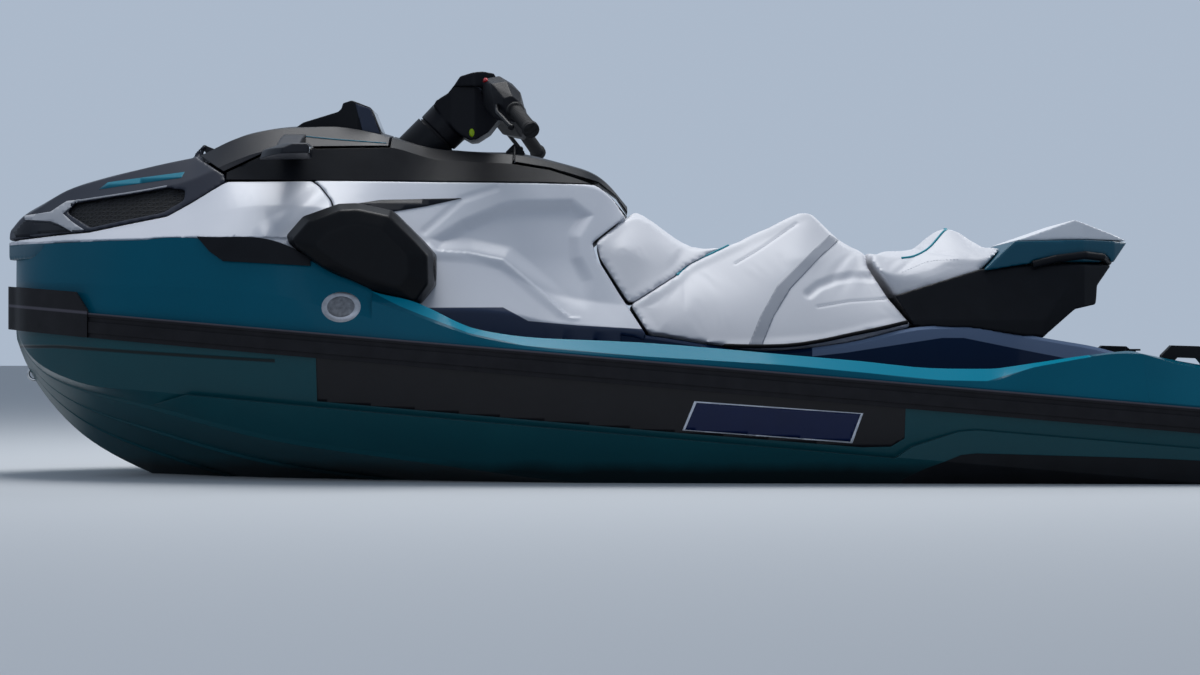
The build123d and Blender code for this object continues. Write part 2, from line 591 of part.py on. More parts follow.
pocket = rod(along(-SEAM), along(90), 68)
collar = rod(along(-120), along(-SEAM), 63) - fore
column_bore = rod(along(COLUMN_END - 4), along(0), COLUMN_R + RUNNING_GAP)
nodes["console"] = one(nodes["console"] - pocket - column_bore)
nodes["deck"] = one(nodes["deck"] - column_bore)
nodes["steering_collar"] = one(collar - column_bore)
hub_side = side_prism(((-580, 968), (-567, 988), (-535, 1032), (-486, 1047), (-446, 1033), (-432, 1000),
                       (-478, 948), (-530, 925)), -62, 62)
stem = rod(along(0), along(58), 60) + rod(along(58), along(96), 60, 44) + rod(along(90), along(130), 44)
stem = stem + rod(along(COLUMN_END), along(0), COLUMN_R)
nodes["steering_stem"] = one(stem + hub_side)
pad = side_prism(((-552, 1012), (-535, 1034), (-486, 1049), (-444, 1034), (-436, 1008), (-470, 1000)), -88, 88)
pad = pad & plan_prism(((-560, -60), (-520, -88), (-450, -76), (-430, -40), (-430, 40), (-450, 76), (-520, 88),
                        (-560, 60)), 900, 1100)
nodes["bar_pad"] = one(pad - nodes["steering_stem"])
BAR = ((-474, 62, 996), (-455, 140, 1000), (-414, 222, 966), (-341, 400, 868))


def port_points(points):
    """Same points on the port side."""
    return [(x, -y, z) for x, y, z in points]


bar = tube_path(port_points(BAR)[::-1] + list(BAR), 11)
nodes["handlebar"] = bar
nodes["steering_stem"] = one(nodes["steering_stem"] - bar)
nodes["bar_pad"] = one(nodes["bar_pad"] - bar)


def between(p, q, t):
    """Point at the fraction t from p to q."""
    return tuple(p[k] + t * (q[k] - p[k]) for k in range(3))


grip_in, grip_out = between(BAR[2], BAR[3], 0.37), between(BAR[2], BAR[3], 1.0)
grip_line = port_points([between(BAR[2], BAR[3], t) for t in (0.37, 0.42, 0.94, 1.0, 1.02)])
grip = rod(grip_line[0], grip_line[1], 22) + rod(grip_line[1], grip_line[2], 17) \
    + rod(grip_line[2], grip_line[4], 21.5)
both("grip", grip - bar)
pod_line = port_points([between(BAR[1], BAR[2], 0.72), BAR[2], between(BAR[2], BAR[3], 0.34)])
switch = rod(pod_line[0], pod_line[1], 28, 33) + rod(pod_line[1], pod_line[2], 33, 27)
switch = switch + ball(pod_line[1], 33)
perch = tube_path(port_points([(-412, 232, 958), (-446, 262, 934)]), 13)
lever = tube_path(port_points([(-446, 264, 933), (-430, 312, 903), (-394, 358, 868)]), 7)
lever = lever + ball((-392, -361, 866), 17)
both("switch_pod", one(switch + perch + lever) - bar - grip)

# Jet drive
GIMBAL_X = 1590.0
BUCKET_X = 1560.0
AFT = (1, 0, 0)


def turned(points, x0=0.0):
    """Body of revolution about the pump axis from (x, radius) points."""
    wire = Wire.make_polygon([Vector(x, 0, PUMP_Z + r) for x, r in points], close=True)
    return Solid.revolve(Face(wire), 360, Axis((0, 0, PUMP_Z), AFT))


housing = turned(((PUMP_X, 80), (PUMP_X, 108), (1196, 108), (1196, 97), (1440, 97), (1520, 66), (1585, 44),
                  (1585, 38), (1520, 58), (1440, 80)))
stator = turned(((1350, 0.0), (1350, 30), (1430, 28), (1510, 10), (1510, 0.0)))
for k in range(6):
    vane = block(1370, 1450, -2, 2, PUMP_Z + 20, PUMP_Z + 86)
    stator = stator + vane.rotate(Axis((0, 0, PUMP_Z), AFT), 60 * k + 15)
housing = housing + (stator & turned(((1340, 0.0), (1340, 82), (1440, 82), (1515, 60), (1515, 0.0))))
for side in (-1, 1):
    housing = housing + block(1470, 1608, min(84 * side, 92 * side), max(84 * side, 92 * side), PUMP_Z - 16,
                              PUMP_Z + 16)
    housing = housing + block(1455, 1480, min(70 * side, 92 * side), max(70 * side, 92 * side), PUMP_Z - 16,
                              PUMP_Z + 16)
trim_hole = rod((GIMBAL_X, -120, PUMP_Z), (GIMBAL_X, 120, PUMP_Z), 5.06)
bucket_hole = rod((BUCKET_X, -120, PUMP_Z), (BUCKET_X, -80, PUMP_Z), 5.06)
bucket_hole = bucket_hole + rod((BUCKET_X, 80, PUMP_Z), (BUCKET_X, 120, PUMP_Z), 5.06)
TAIL_R = 10.0
tail_bore = rod((1340, 0, PUMP_Z), (1382, 0, PUMP_Z), TAIL_R + RUNNING_GAP)
nodes["pump_housing"] = one(housing - trim_hole - bucket_hole - tail_bore)

impeller = turned(((1216, 0.0), (1216, 22), (1236, 27), (1342, 28), (1342, 0.0)))
for k in range(4):
    blade = block(1238, 1328, -2.5, 2.5, PUMP_Z + 18, PUMP_Z + 90)
    blade = blade.rotate(Axis((1283, 0, PUMP_Z), (0, 0, 1)), 52)
    impeller = impeller + blade.rotate(Axis((0, 0, PUMP_Z), AFT), 90 * k)
impeller = impeller & turned(((1200, 0.0), (1200, IMPELLER_R), (1343, IMPELLER_R), (1343, 0.0)))
shaft = rod((1012, 0, PUMP_Z), (1220, 0, PUMP_Z), 14) + rod((1340, 0, PUMP_Z), (1380, 0, PUMP_Z), TAIL_R)
nodes["impeller"] = one(impeller + shaft)
hull = nodes["hull"] - rod((1000, 0, PUMP_Z), (1120, 0, PUMP_Z), 20)
nodes["hull"] = one(hull)
hull_whole = nodes["hull"]

trim_ring = turned(((1578, 69), (1578, 77), (1606, 77), (1606, 69)))
trim_ring = trim_ring + rod((GIMBAL_X, -92, PUMP_Z), (GIMBAL_X, -70, PUMP_Z), 5)
trim_ring = trim_ring + rod((GIMBAL_X, 70, PUMP_Z), (GIMBAL_X, 92, PUMP_Z), 5)
trim_ring = trim_ring - rod((GIMBAL_X, 0, PUMP_Z - 90), (GIMBAL_X, 0, PUMP_Z + 90), 5.06)
nodes["trim_ring"] = one(trim_ring)
nozzle = turned(((1590, 58), (1590, 63), (1646, 46), (1672, 43), (1672, 36), (1646, 38)))
nozzle = nozzle + (rod((GIMBAL_X, 0, PUMP_Z - 77), (GIMBAL_X, 0, PUMP_Z + 77), 5)
                   - turned(((1500, 0.0), (1500, 60), (1700, 60), (1700, 0.0))))
lug = turned(((1590, 59), (1590, 64), (1600, 64), (1600, 57))) & block(1500, 1700, -12, 12, -200, 200)
nozzle = nozzle + lug
nodes["steering_nozzle"] = one(nozzle)


def sector(radius_in, radius_out, low_deg, high_deg, y0, y1):
    """Part ring about the bucket pivot between two angles above aft."""
    points = []
    for k in range(13):
        angle = math.radians(low_deg + (high_deg - low_deg) * k / 12)
        points.append((BUCKET_X + radius_out * math.cos(angle), PUMP_Z + radius_out * math.sin(angle)))
    for k in range(12, -1, -1):
        angle = math.radians(low_deg + (high_deg - low_deg) * k / 12)
        points.append((BUCKET_X + radius_in * math.cos(angle), PUMP_Z + radius_in * math.sin(angle)))
    return side_prism(points, y0, y1)


bucket = sector(129, 136, 40, 100, -106, 106)
for side in (-1, 1):
    y0, y1 = min(99 * side, 106 * side), max(99 * side, 106 * side)
    cheek = side_prism([(BUCKET_X - 14, PUMP_Z)] + [
        (BUCKET_X + 134 * math.cos(math.radians(a)), PUMP_Z + 134 * math.sin(math.radians(a)))
        for a in (100, 85, 70, 55, 40)] + [(BUCKET_X + 14, PUMP_Z - 8), (BUCKET_X, PUMP_Z - 14)], y0, y1)
    pin = rod((BUCKET_X, min(84 * side, 100 * side), PUMP_Z), (BUCKET_X, max(84 * side, 100 * side), PUMP_Z), 5)
    bucket = bucket + cheek + pin
nodes["reverse_bucket"] = one(bucket)

V_BOTTOM = ((0, -185), (118, -151), (118, -138), (98, -138), (86, -147), (-86, -147), (-98, -138), (-118, -138),
            (-118, -151))
plate = Solid.extrude(Face(Wire.make_polygon([Vector(1184, y, z) for y, z in V_BOTTOM], close=True)),
                      Vector(316, 0, 0))
nodes["ride_plate"] = one(plate - nodes["pump_housing"] - hull_whole)
bars = [block(806, 1150, y - 5, y + 5, -190, -160) for y in (-62, -31, 0, 31, 62)]
bars += [block(x, x + 14, -82, 82, -190, -160) for x in (880, 1080)]
grate = bars[0]
for extra in bars[1:]:
    grate = grate + extra
wedge = Solid.extrude(Face(Wire.make_polygon([Vector(700, y, z) for y, z in (
    (0, -184), (120, -150), (120, -136), (0, -170), (-120, -136), (-120, -150))], close=True)), Vector(500, 0, 0))
grate = (grate & wedge) - hull_whole
nodes["intake_grate"] = one(grate)

# Boarding step in the stern recess
STEP = (1708.0, 118.0)
lugs = None
step = block(1700, 1716, -160, 160, 196, 218)
for side in (-1, 1):
    y0, y1 = min(117 * side, 123 * side), max(117 * side, 123 * side)
    arm = side_prism(((1700, 112), (1716, 112), (1716, 200), (1700, 200)), y0, y1)
    pin = rod((STEP[0], min(106 * side, 134 * side), STEP[1]), (STEP[0], max(106 * side, 134 * side), STEP[1]), 4)
    step = step + arm + pin
    for low, high in ((106, 112), (128, 134)):
        lug = side_prism(((1690, 150), (1702, 150), (1716, 128), (1716, 108), (1690, 108)),
                         min(low * side, high * side), max(low * side, high * side))
        lugs = lug if lugs is None else lugs + lug
hole = rod((STEP[0], -150, STEP[1]), (STEP[0], 150, STEP[1]), 4.06)
bracket = block(1682, 1690, -150, 150, 96, 126)
nodes["boarding_step"] = one(step)
bracket = (lugs + block(1684, 1691, -150, 150, 106, 150)) - hole - deck
nodes["step_bracket"] = one(bracket)

# Mats, cleats, eyes and hook
mat_plan = [(x, read(MIDDLE, 6, x) + 30) for x in (-430, -357, -200, 0, 250, 446, 600, 720)]
mat_plan += [(x, beam(x) - read(MIDDLE, 3, x) - 62) for x in (720, 600, 446, 250, 0, -200, -357, -430)]
mat = plan_prism([(x, -y) for x, y in mat_plan], 138, 149) - deck
both("foot_mat", mat)


def mat_half(x):
    """Half outline of the stern part raised by the mat."""
    v = [read(STERN, k, x) for k in range(1, 6)]
    low, b = sheer(x) - DECK_JOINT_DROP, beam(x)
    return [(0.0, low + 30), (b - v[2] - 40, low + 30), (b - v[2] - 40, v[4] + 6), (0.0, v[4] + 6)]


stern_mat = loft_along((1180, 1236, 1318, 1400, 1480, 1560, 1642, 1712), mat_half)
stern_mat = stern_mat & plan_prism(((1205, -330), (1600, -430), (1676, -400), (1680, 0), (1676, 400), (1600, 430),
                                    (1205, 330)), 0, 600)
nodes["platform_mat"] = one(stern_mat - deck)
cleat = side_prism(((1205, 270), (1208, 312), (1232, 336), (1300, 334), (1336, 306), (1344, 250), (1318, 240),
                    (1306, 292), (1296, 304), (1246, 306), (1236, 296), (1232, 250)), -470, -440)
both("cleat", cleat - deck)
hook = block(1196, 1262, -20, 20, 270, 300) + rod((1230, 0, 296), (1230, 0, 322), 8)
hook = hook + rod((1230, 0, 322), (1230, 0, 327), 20)
nodes["tow_hook"] = one(hook - deck - nodes["platform_mat"])


def eye(centre, normal_x):
    """Round eye bolt standing fore or aft."""
    x, y, z = centre
    loop = Solid.make_torus(16, 4, Plane(origin=(x, y, z), z_dir=(0, 1, 0)))
    return loop + rod((x - 14 * normal_x, y, z), (x - 34 * normal_x, y, z), 5)


nodes["bow_eye"] = one(eye((-1660, 0, 262), -1) - hull_whole)
stern_eye = eye((1622, -330, 60), 1)
both("stern_eye", stern_eye - hull_whole)

os.makedirs("parts", exist_ok=True)
for name, solid in nodes.items():
    export_step(solid, f"parts/{name}.step")
    box = solid.bounding_box()
    print(name, len(nodes[name].solids()), solid.is_valid, round(solid.volume / 1e6, 2), box)
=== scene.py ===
import math

import bmesh
import bpy
import numpy as np
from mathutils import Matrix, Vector
from mathutils.bvhtree import BVHTree


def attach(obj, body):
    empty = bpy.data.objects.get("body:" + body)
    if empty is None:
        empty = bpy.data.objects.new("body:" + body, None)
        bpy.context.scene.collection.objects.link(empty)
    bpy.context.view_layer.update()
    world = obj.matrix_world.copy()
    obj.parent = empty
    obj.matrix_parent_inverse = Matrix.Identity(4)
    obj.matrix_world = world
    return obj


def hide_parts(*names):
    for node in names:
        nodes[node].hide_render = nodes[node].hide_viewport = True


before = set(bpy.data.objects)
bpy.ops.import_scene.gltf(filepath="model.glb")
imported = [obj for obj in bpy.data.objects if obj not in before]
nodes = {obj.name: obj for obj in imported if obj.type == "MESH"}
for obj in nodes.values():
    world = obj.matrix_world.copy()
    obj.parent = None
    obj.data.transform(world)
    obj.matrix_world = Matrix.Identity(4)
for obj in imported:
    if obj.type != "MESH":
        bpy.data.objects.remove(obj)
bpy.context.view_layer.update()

# Hull: the V bottom and topsides, one moulding of glass fibre sprayed with coloured gelcoat.
# The film of gelcoat is glossy over a very slight ripple, with fine metal flake in its colour,
# and the strip that the water laps is wetter and darker.
EDGE_WIDTH, FLAKE_SHARE, HAIR = 0.0015, 0.12, 1e-6


def linear(text):
    """Linear colour with alpha from an sRGB hex value."""
    parts = [int(text[k:k + 2], 16) / 255 for k in (1, 3, 5)]
    return tuple(c / 12.92 if c <= 0.04045 else ((c + 0.055) / 1.055) ** 2.4 for c in parts) + (1.0,)


def put(tree, kind, feeds=None, **settings):
    """Add one shader node with its settings; feeds go to its inputs as links or as values."""
    made = tree.nodes.new(kind)
    for name, value in settings.items():
        setattr(made, name, value)
    for name, value in (feeds or {}).items():
        if isinstance(value, bpy.types.NodeSocket):
            tree.links.new(value, made.inputs[name])
        else:
            made.inputs[name].default_value = value
    return made


def new_finish(name, **sockets):
    """New material, its node tree and its shader, with values on the shader's own sockets."""
    made = bpy.data.materials.new(name)
    made.use_nodes = True
    shader = made.node_tree.nodes["Principled BSDF"]
    for socket, value in sockets.items():
        shader.inputs[socket.replace("_", " ").title().replace("Ior", "IOR")].default_value = value
    return made, made.node_tree, shader


def math_of(tree, operation, a, b=0.0, c=0.0):
    """Result of one sum on two or three values."""
    return put(tree, "ShaderNodeMath", {0: a, 1: b, 2: c}, operation=operation).outputs[0]


def times(tree, a, b):
    """Product of two values."""
    return math_of(tree, "MULTIPLY", a, b)


def place_of(tree):
    """Place on the piece in metres, and its x, y and z."""
    place = put(tree, "ShaderNodeTexCoord").outputs["Object"]
    split = put(tree, "ShaderNodeSeparateXYZ", {0: place})
    return place, split.outputs[0], split.outputs[1], split.outputs[2]


def speckle(tree, place, size_mm, detail=2.0):
    """Cloudy pattern whose patches measure size_mm."""
    feeds = {"Vector": place, "Scale": 1000 / size_mm, "Detail": detail}
    return put(tree, "ShaderNodeTexNoise", feeds).outputs[0]


def mixed(tree, share, first, second):
    """First colour where share is 0, second where it is 1; each is hex text or a link."""
    ends = [linear(end) if isinstance(end, str) else end for end in (first, second)]
    return put(tree, "ShaderNodeMix", {0: share, 6: ends[0], 7: ends[1]}, data_type="RGBA").outputs[2]


def surface(tree, height, depth_mm, edge_mm):
    """Normal with edges rounded to edge_mm and the height pattern depth_mm deep."""
    rounded = put(tree, "ShaderNodeBevel", {"Radius": edge_mm / 1000}, samples=4).outputs[0]
    feeds = {"Height": height, "Distance": depth_mm / 1000, "Normal": rounded}
    return put(tree, "ShaderNodeBump", feeds).outputs[0]


def coated_with(tree, shader, tint, height, depth_mm, edge_mm):
    """Join a colour and a relief to the shader."""
    tree.links.new(tint, shader.inputs["Base Color"])
    tree.links.new(surface(tree, height, depth_mm, edge_mm), shader.inputs["Normal"])


def line_at(tree, x, points):
    """Height in metres of a line through (x, z) points in millimetres, at the place x."""
    xs, zs = [p[0] / 1000 for p in points], [p[1] / 1000 for p in points]
    low, high = min(zs), max(zs) + HAIR
    share = put(tree, "ShaderNodeMapRange", {0: x, 1: xs[0], 2: xs[-1], 3: 0.0, 4: 1.0}).outputs[0]
    curve = put(tree, "ShaderNodeFloatCurve", {"Value": share})
    spline = curve.mapping.curves[0]
    spline.points[0].location = (0.0, (zs[0] - low) / (high - low))
    spline.points[1].location = (1.0, (zs[-1] - low) / (high - low))
    for px, pz in list(zip(xs, zs))[1:-1]:
        spline.points.new((px - xs[0]) / (xs[-1] - xs[0]), (pz - low) / (high - low))
    for point in spline.points:
        point.handle_type = "VECTOR"
    curve.mapping.update()
    return put(tree, "ShaderNodeMapRange", {0: curve.outputs[0], 1: 0.0, 2: 1.0, 3: low, 4: high}).outputs[0]


def step_up(tree, value, start, width=EDGE_WIDTH):
    """0 below start, 1 above it, over a narrow width."""
    return put(tree, "ShaderNodeMapRange", {0: value, 1: start - width / 2, 2: start + width / 2}).outputs[0]


def step_down(tree, value, end, width=EDGE_WIDTH):
    """1 below end, 0 above it, over a narrow width."""
    return step_up(tree, times(tree, value, -1.0), -end, width)


def above(tree, x, z, line):
    """1 above a line seen from the side, 0 below it."""
    return step_up(tree, math_of(tree, "SUBTRACT", z, line_at(tree, x, line)), 0.0)


def flaked(tree, place, size_mm, tint, bright):
    """Colour with fine metal flake in it."""
    feeds = {"Vector": place, "Scale": 1000 / size_mm}
    flake = put(tree, "ShaderNodeTexVoronoi", feeds).outputs["Distance"]
    return mixed(tree, times(tree, flake, FLAKE_SHARE), tint, bright)


def dress(finish, *names):
    """Give CAD nodes a finish."""
    for name in names:
        nodes[name].data.materials.clear()
        nodes[name].data.materials.append(finish)


def pair(name):
    """Both names of a piece that each side has."""
    return name + "_port", name + "_starboard"


STEP_LINE = ((-1560, 333), (-1526, 332), (-1289, 317), (-1017, 301), (-960, 298))
STEP_LINE_HALF, STEP_LINE_AFT_X = 0.004, -0.965
LAP_Z, LAP_WAVER = 0.055, 0.03
hull_gelcoat, tree, shader = new_finish("hull_gelcoat_teal_green", roughness=0.3, specular_ior_level=0.18,
                                        coat_weight=0.08, coat_roughness=0.1)
place, x, _, z = place_of(tree)
tint = flaked(tree, place, 1.6, mixed(tree, speckle(tree, place, 180), "#04363F", "#064048"), "#12707A")
wavered = math_of(tree, "MULTIPLY_ADD", speckle(tree, place, 120), LAP_WAVER, z)
dry = step_up(tree, wavered, LAP_Z, 0.03)
tint = mixed(tree, dry, "#03181C", tint)
# The dark line along the bow's step, forward of STEP_LINE_AFT_X, is painted shade in the step; the same mask
# sinks it slightly as relief.
off_line = math_of(tree, "ABSOLUTE", math_of(tree, "SUBTRACT", z, line_at(tree, x, STEP_LINE)))
clear_of_step_shade = step_up(tree, off_line, STEP_LINE_HALF, 0.003)
clear_of_step_shade = math_of(tree, "MAXIMUM", clear_of_step_shade, step_up(tree, x, STEP_LINE_AFT_X))
ripple = math_of(tree, "MULTIPLY_ADD", speckle(tree, place, 45), 0.12, clear_of_step_shade)
tint = mixed(tree, clear_of_step_shade, "#02161A", tint)
coated_with(tree, shader, tint, ripple, 1.2, 3.0)
dress(hull_gelcoat, "hull")

# Sponsons: bolt-on black blades along the chines aft, moulded in glass-filled nylon.
# The moulding has a fine spark-eroded grain that scatters light, and a painted highlight makes its sharp
# edges paler.
MOULD_GRAIN_MM = 1.2
EDGE_HIGHLIGHT_FROM, EDGE_HIGHLIGHT_FULL, EDGE_HIGHLIGHT_SHARE = 0.52, 0.60, 0.35


def black_moulding(name, body, pale_tint, roughness, grain_mm=MOULD_GRAIN_MM, edge_mm=2.0):
    """Grained black plastic, with a painted highlight that makes its sharp outer edges paler."""
    made, tree, shader = new_finish(name, roughness=roughness, ior=1.5, specular_ior_level=0.11)
    place = place_of(tree)[0]
    # Sharp outer edges, found by the mesh's pointiness, are painted paler: a painted highlight.
    edge = put(tree, "ShaderNodeNewGeometry").outputs["Pointiness"]
    edge_highlight = put(tree, "ShaderNodeMapRange", {0: edge, 1: EDGE_HIGHLIGHT_FROM, 2: EDGE_HIGHLIGHT_FULL}).outputs[0]
    cloud = speckle(tree, place, 60, 4)
    tint = mixed(tree, cloud, body, pale_tint)
    tint = mixed(tree, times(tree, edge_highlight, EDGE_HIGHLIGHT_SHARE), tint, pale_tint)
    gloss = math_of(tree, "MULTIPLY_ADD", cloud, 0.15, roughness - 0.07)
    tree.links.new(gloss, shader.inputs["Roughness"])
    coated_with(tree, shader, tint, speckle(tree, place, grain_mm), 0.12, edge_mm)
    return made


nylon = black_moulding("sponson_nylon_grained", "#0B0C0E", "#1C1E22", 0.5)
dress(nylon, *pair("sponson"))

# Rub rail and bow bumper: extruded rubber over the hull to deck joint, thicker at the nose.
# Soft rubber has no gloss; the pale line along its top lip is a painted highlight.
RAIL_TOP_Z, RAIL_SLOPE = 0.294, 0.085
LIP_HIGHLIGHT_HALF = 0.0035
rubber, tree, shader = new_finish("rail_rubber_extruded", roughness=0.62, ior=1.52, specular_ior_level=0.14)
place, x, _, z = place_of(tree)
depth = math_of(tree, "SUBTRACT", math_of(tree, "MULTIPLY_ADD", x, -RAIL_SLOPE, RAIL_TOP_Z), z)
tint = mixed(tree, speckle(tree, place, 35, 5), "#111114", "#232226")
# The pale line along the rail's top lip is a painted highlight.
lip_highlight = step_down(tree, math_of(tree, "ABSOLUTE", depth), LIP_HIGHLIGHT_HALF, 0.003)
tint = mixed(tree, times(tree, lip_highlight, 0.5), tint, "#6A6670")
coated_with(tree, shader, tint, speckle(tree, place, 3.0), 0.15, 2.5)
dress(rubber, *pair("rub_rail"), "bow_bumper")

# Deck: the upper moulding of glass fibre in metallic teal gelcoat, masked and sprayed in colours.
# A bright cyan stripe follows the gunwale; the footwells are navy, with a grey blue band on the pedestal.
UNDER_SKINS_Z = 0.604
GUNWALE_LOW = ((-745, 476), (-700, 452), (-655, 430), (-610, 412), (-489, 366), (-357, 336), (-60, 309),
               (250, 290), (446, 272), (650, 252), (760, 250), (873, 282), (984, 302), (1070, 315))
CREST_Y = ((-760, 488), (-726, 499), (-690, 514), (-655, 524), (-610, 534), (-489, 548), (-60, 563),
           (250, 565), (650, 565), (760, 559), (873, 547), (984, 520), (1070, 499), (1150, 484))
BAND_LOW = ((300, 302), (446, 318), (690, 355), (745, 355), (1000, 303), (1150, 268))
WELL_FORE_X, WELL_AFT_X, CYAN_AFT_X, BAND_FORE_X = -0.727, 1.15, 1.02, 0.36
deck_gelcoat, tree, shader = new_finish("deck_gelcoat_metallic_teal", roughness=0.32, specular_ior_level=0.04,
                                        coat_weight=0.08, coat_roughness=0.1)
place, x, y, z = place_of(tree)
teal = flaked(tree, place, 1.4, mixed(tree, speckle(tree, place, 220), "#02485C", "#045066"), "#1492A8")
navy = mixed(tree, speckle(tree, place, 150), "#041B38", "#072442")
within = math_of(tree, "SUBTRACT", line_at(tree, x, CREST_Y), math_of(tree, "ABSOLUTE", y))
inboard = step_up(tree, within, EDGE_WIDTH)
amidships = times(tree, step_up(tree, x, WELL_FORE_X), step_down(tree, x, WELL_AFT_X))
stripe = times(tree, above(tree, x, z, GUNWALE_LOW), amidships)
stripe = times(tree, stripe, step_down(tree, x, CYAN_AFT_X))
band = times(tree, above(tree, x, z, BAND_LOW), step_up(tree, x, BAND_FORE_X))
inside_colour = mixed(tree, band, navy, "#687A96")
tint = mixed(tree, stripe, teal, "#01809A")
tint = mixed(tree, times(tree, inboard, amidships), tint, inside_colour)
# Above UNDER_SKINS_Z the deck lies under the panels and hood, and is painted near black there: painted shade
# in the gaps between those skins.
tint = mixed(tree, step_up(tree, z, UNDER_SKINS_Z), tint, "#0C0D10")
coated_with(tree, shader, tint, speckle(tree, place, 40), 0.1, 4.0)
dress(deck_gelcoat, "deck")

# Footwell and platform mats: closed-cell foam sheet, glued down, milled with lengthwise grooves.
# The foam is matt and slightly fuzzy, and the grooves are painted darker, as painted shade, so they read as
# fine dark lines.
GROOVE_PITCH_MM, GROOVE_HALF = 18, 0.0022
foam, tree, shader = new_finish("mat_foam_grooved", roughness=0.85, sheen_weight=0.2)
place, _, y, _ = place_of(tree)
wave = math_of(tree, "PINGPONG", y, GROOVE_PITCH_MM / 2000)
ridge = step_up(tree, wave, GROOVE_HALF, 0.0016)
tint = mixed(tree, speckle(tree, place, 8, 4), "#1C2128", "#2C323B")
# The grooves are painted darker: painted shade in them.
tint = mixed(tree, ridge, "#0B0E12", tint)
relief = math_of(tree, "MULTIPLY_ADD", speckle(tree, place, 1.5), 0.1, ridge)
coated_with(tree, shader, tint, relief, 1.5, 2.0)
dress(foam, *pair("foot_mat"), "platform_mat")

# Hull decals: vinyl films on the topsides, a black panel with a blank blue plate, one of each a side.
# Cast vinyl film is thin and satin, and its cut edge catches a hair of light.
DECAL_PANEL = ((-862, 326), (-862, 200), (-706, 187), (31, 124), (462, 90), (530, 92), (562, 112), (562, 206))
PLATE = ((27, 131), (55, 202), (461, 173), (437, 100))
PLATE_BORDER, PLATE_ASPECT = 0.028, 2.6
PORT, STARBOARD, AFT, TOP = Vector((0, -1, 0)), Vector((0, 1, 0)), Vector((1, 0, 0)), Vector((0, 0, 1))
SIDES = (("port", PORT), ("starboard", STARBOARD))
OUTSIDE = 3


def skin_of(*pieces):
    """Search tree over the faces of pieces, to lay things on."""
    points, faces = [], []
    for piece in pieces:
        start = len(points)
        points += [v.co.copy() for v in piece.data.vertices]
        faces += [[start + k for k in f.vertices] for f in piece.data.polygons]
    return BVHTree.FromPolygons(points, faces)


def smoothed(mesh):
    """The mesh, shaded smooth."""
    for f in mesh.polygons:
        f.use_smooth = True
    return mesh


def mesh_from(name, shape):
    """Smooth mesh of a drawn shape, which is then let go."""
    mesh = bpy.data.meshes.new(name)
    shape.to_mesh(mesh)
    shape.free()
    return smoothed(mesh)


def in_scene(name, data):
    """New object in the scene."""
    made = bpy.data.objects.new(name, data)
    bpy.context.scene.collection.objects.link(made)
    return made


def add_piece(name, mesh, finish, body="craft"):
    """Place a mesh in the scene as a piece of the craft."""
    made = in_scene(name, mesh)
    mesh.materials.clear()
    mesh.materials.append(finish)
    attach(made, body)
    return made


def on_skin(skin, outward, u, v):
    """Point and outward normal where a look from outside at (u, v) in metres meets the skin."""
    if outward.y:
        start = Vector((u, 0, v))
    elif outward.x:
        start = Vector((0, u, v))
    else:
        start = Vector((u, v, 0))
    point, normal = skin.ray_cast(start + outward * OUTSIDE, -outward)[:2]
    if point is None:
        return None, None
    return point, normal if normal.dot(outward) > 0 else -normal


def sliced(shape, at, across, **options):
    """Cut a drawn shape along a plane; the cut's own parts come back."""
    parts = shape.verts[:] + shape.edges[:] + shape.faces[:]
    return bmesh.ops.bisect_plane(shape, geom=parts, plane_co=at, plane_no=across, dist=HAIR, **options)


def face_out(shape, outward):
    """Turn a drawn sheet so that its outside faces outward."""
    shape.normal_update()
    if sum(f.normal.dot(outward) * f.calc_area() for f in shape.faces) < 0:
        bmesh.ops.reverse_faces(shape, faces=shape.faces[:])


def laid(name, finish, skin, outline, outward, thick_mm, body="craft", step_mm=14, lift_mm=0.15):
    """Thin sheet laid on a skin, cut to an outline in millimetres as seen from outside."""
    flat = bmesh.new()
    flat.faces.new([flat.verts.new((u / 1000, v / 1000, 0)) for u, v in outline])
    for axis in (Vector((1, 0, 0)), Vector((0, 1, 0))):
        reach = [v.co.dot(axis) for v in flat.verts]
        for at in np.arange(min(reach) + step_mm / 1000, max(reach), step_mm / 1000):
            sliced(flat, axis * at, axis)
    lost = []
    for v in flat.verts:
        point, normal = on_skin(skin, outward, v.co.x, v.co.y)
        if point is None:
            lost.append(v)
        else:
            v.co = point + normal * lift_mm / 1000
    bmesh.ops.delete(flat, geom=lost, context="VERTS")
    face_out(flat, outward)
    made = add_piece(name, mesh_from(name, flat), finish, body)
    thicken = made.modifiers.new("thicken", "SOLIDIFY")
    thicken.thickness = thick_mm / 1000
    thicken.offset = 1.0


def mottled(name, low, high, cloud, relief, **sockets):
    """Finish of two colours; cloud: patch mm, detail; relief: grain mm, depth mm, edge mm."""
    made, tree, shader = new_finish(name, **sockets)
    place = place_of(tree)[0]
    tint = mixed(tree, speckle(tree, place, *cloud), low, high)
    coated_with(tree, shader, tint, speckle(tree, place, relief[0]), *relief[1:])
    return made


def satin_film(name, low, high, roughness):
    """Plain colour that varies faintly over a hand's width, under a satin skin."""
    return mottled(name, low, high, (90, 4), (4.0, 0.05, 0.6), roughness=roughness, specular_ior_level=0.25)


def middle_of(outline):
    """Mean of an outline's corners."""
    return sum(p[0] for p in outline) / len(outline), sum(p[1] for p in outline) / len(outline)


def moved_in(outline, by, aspect):
    """Outline with each corner moved in by a share of its length, and by aspect times that of its height."""
    cu, cv = middle_of(outline)
    return [(u + (cu - u) * by, v + (cv - v) * by * aspect) for u, v in outline]


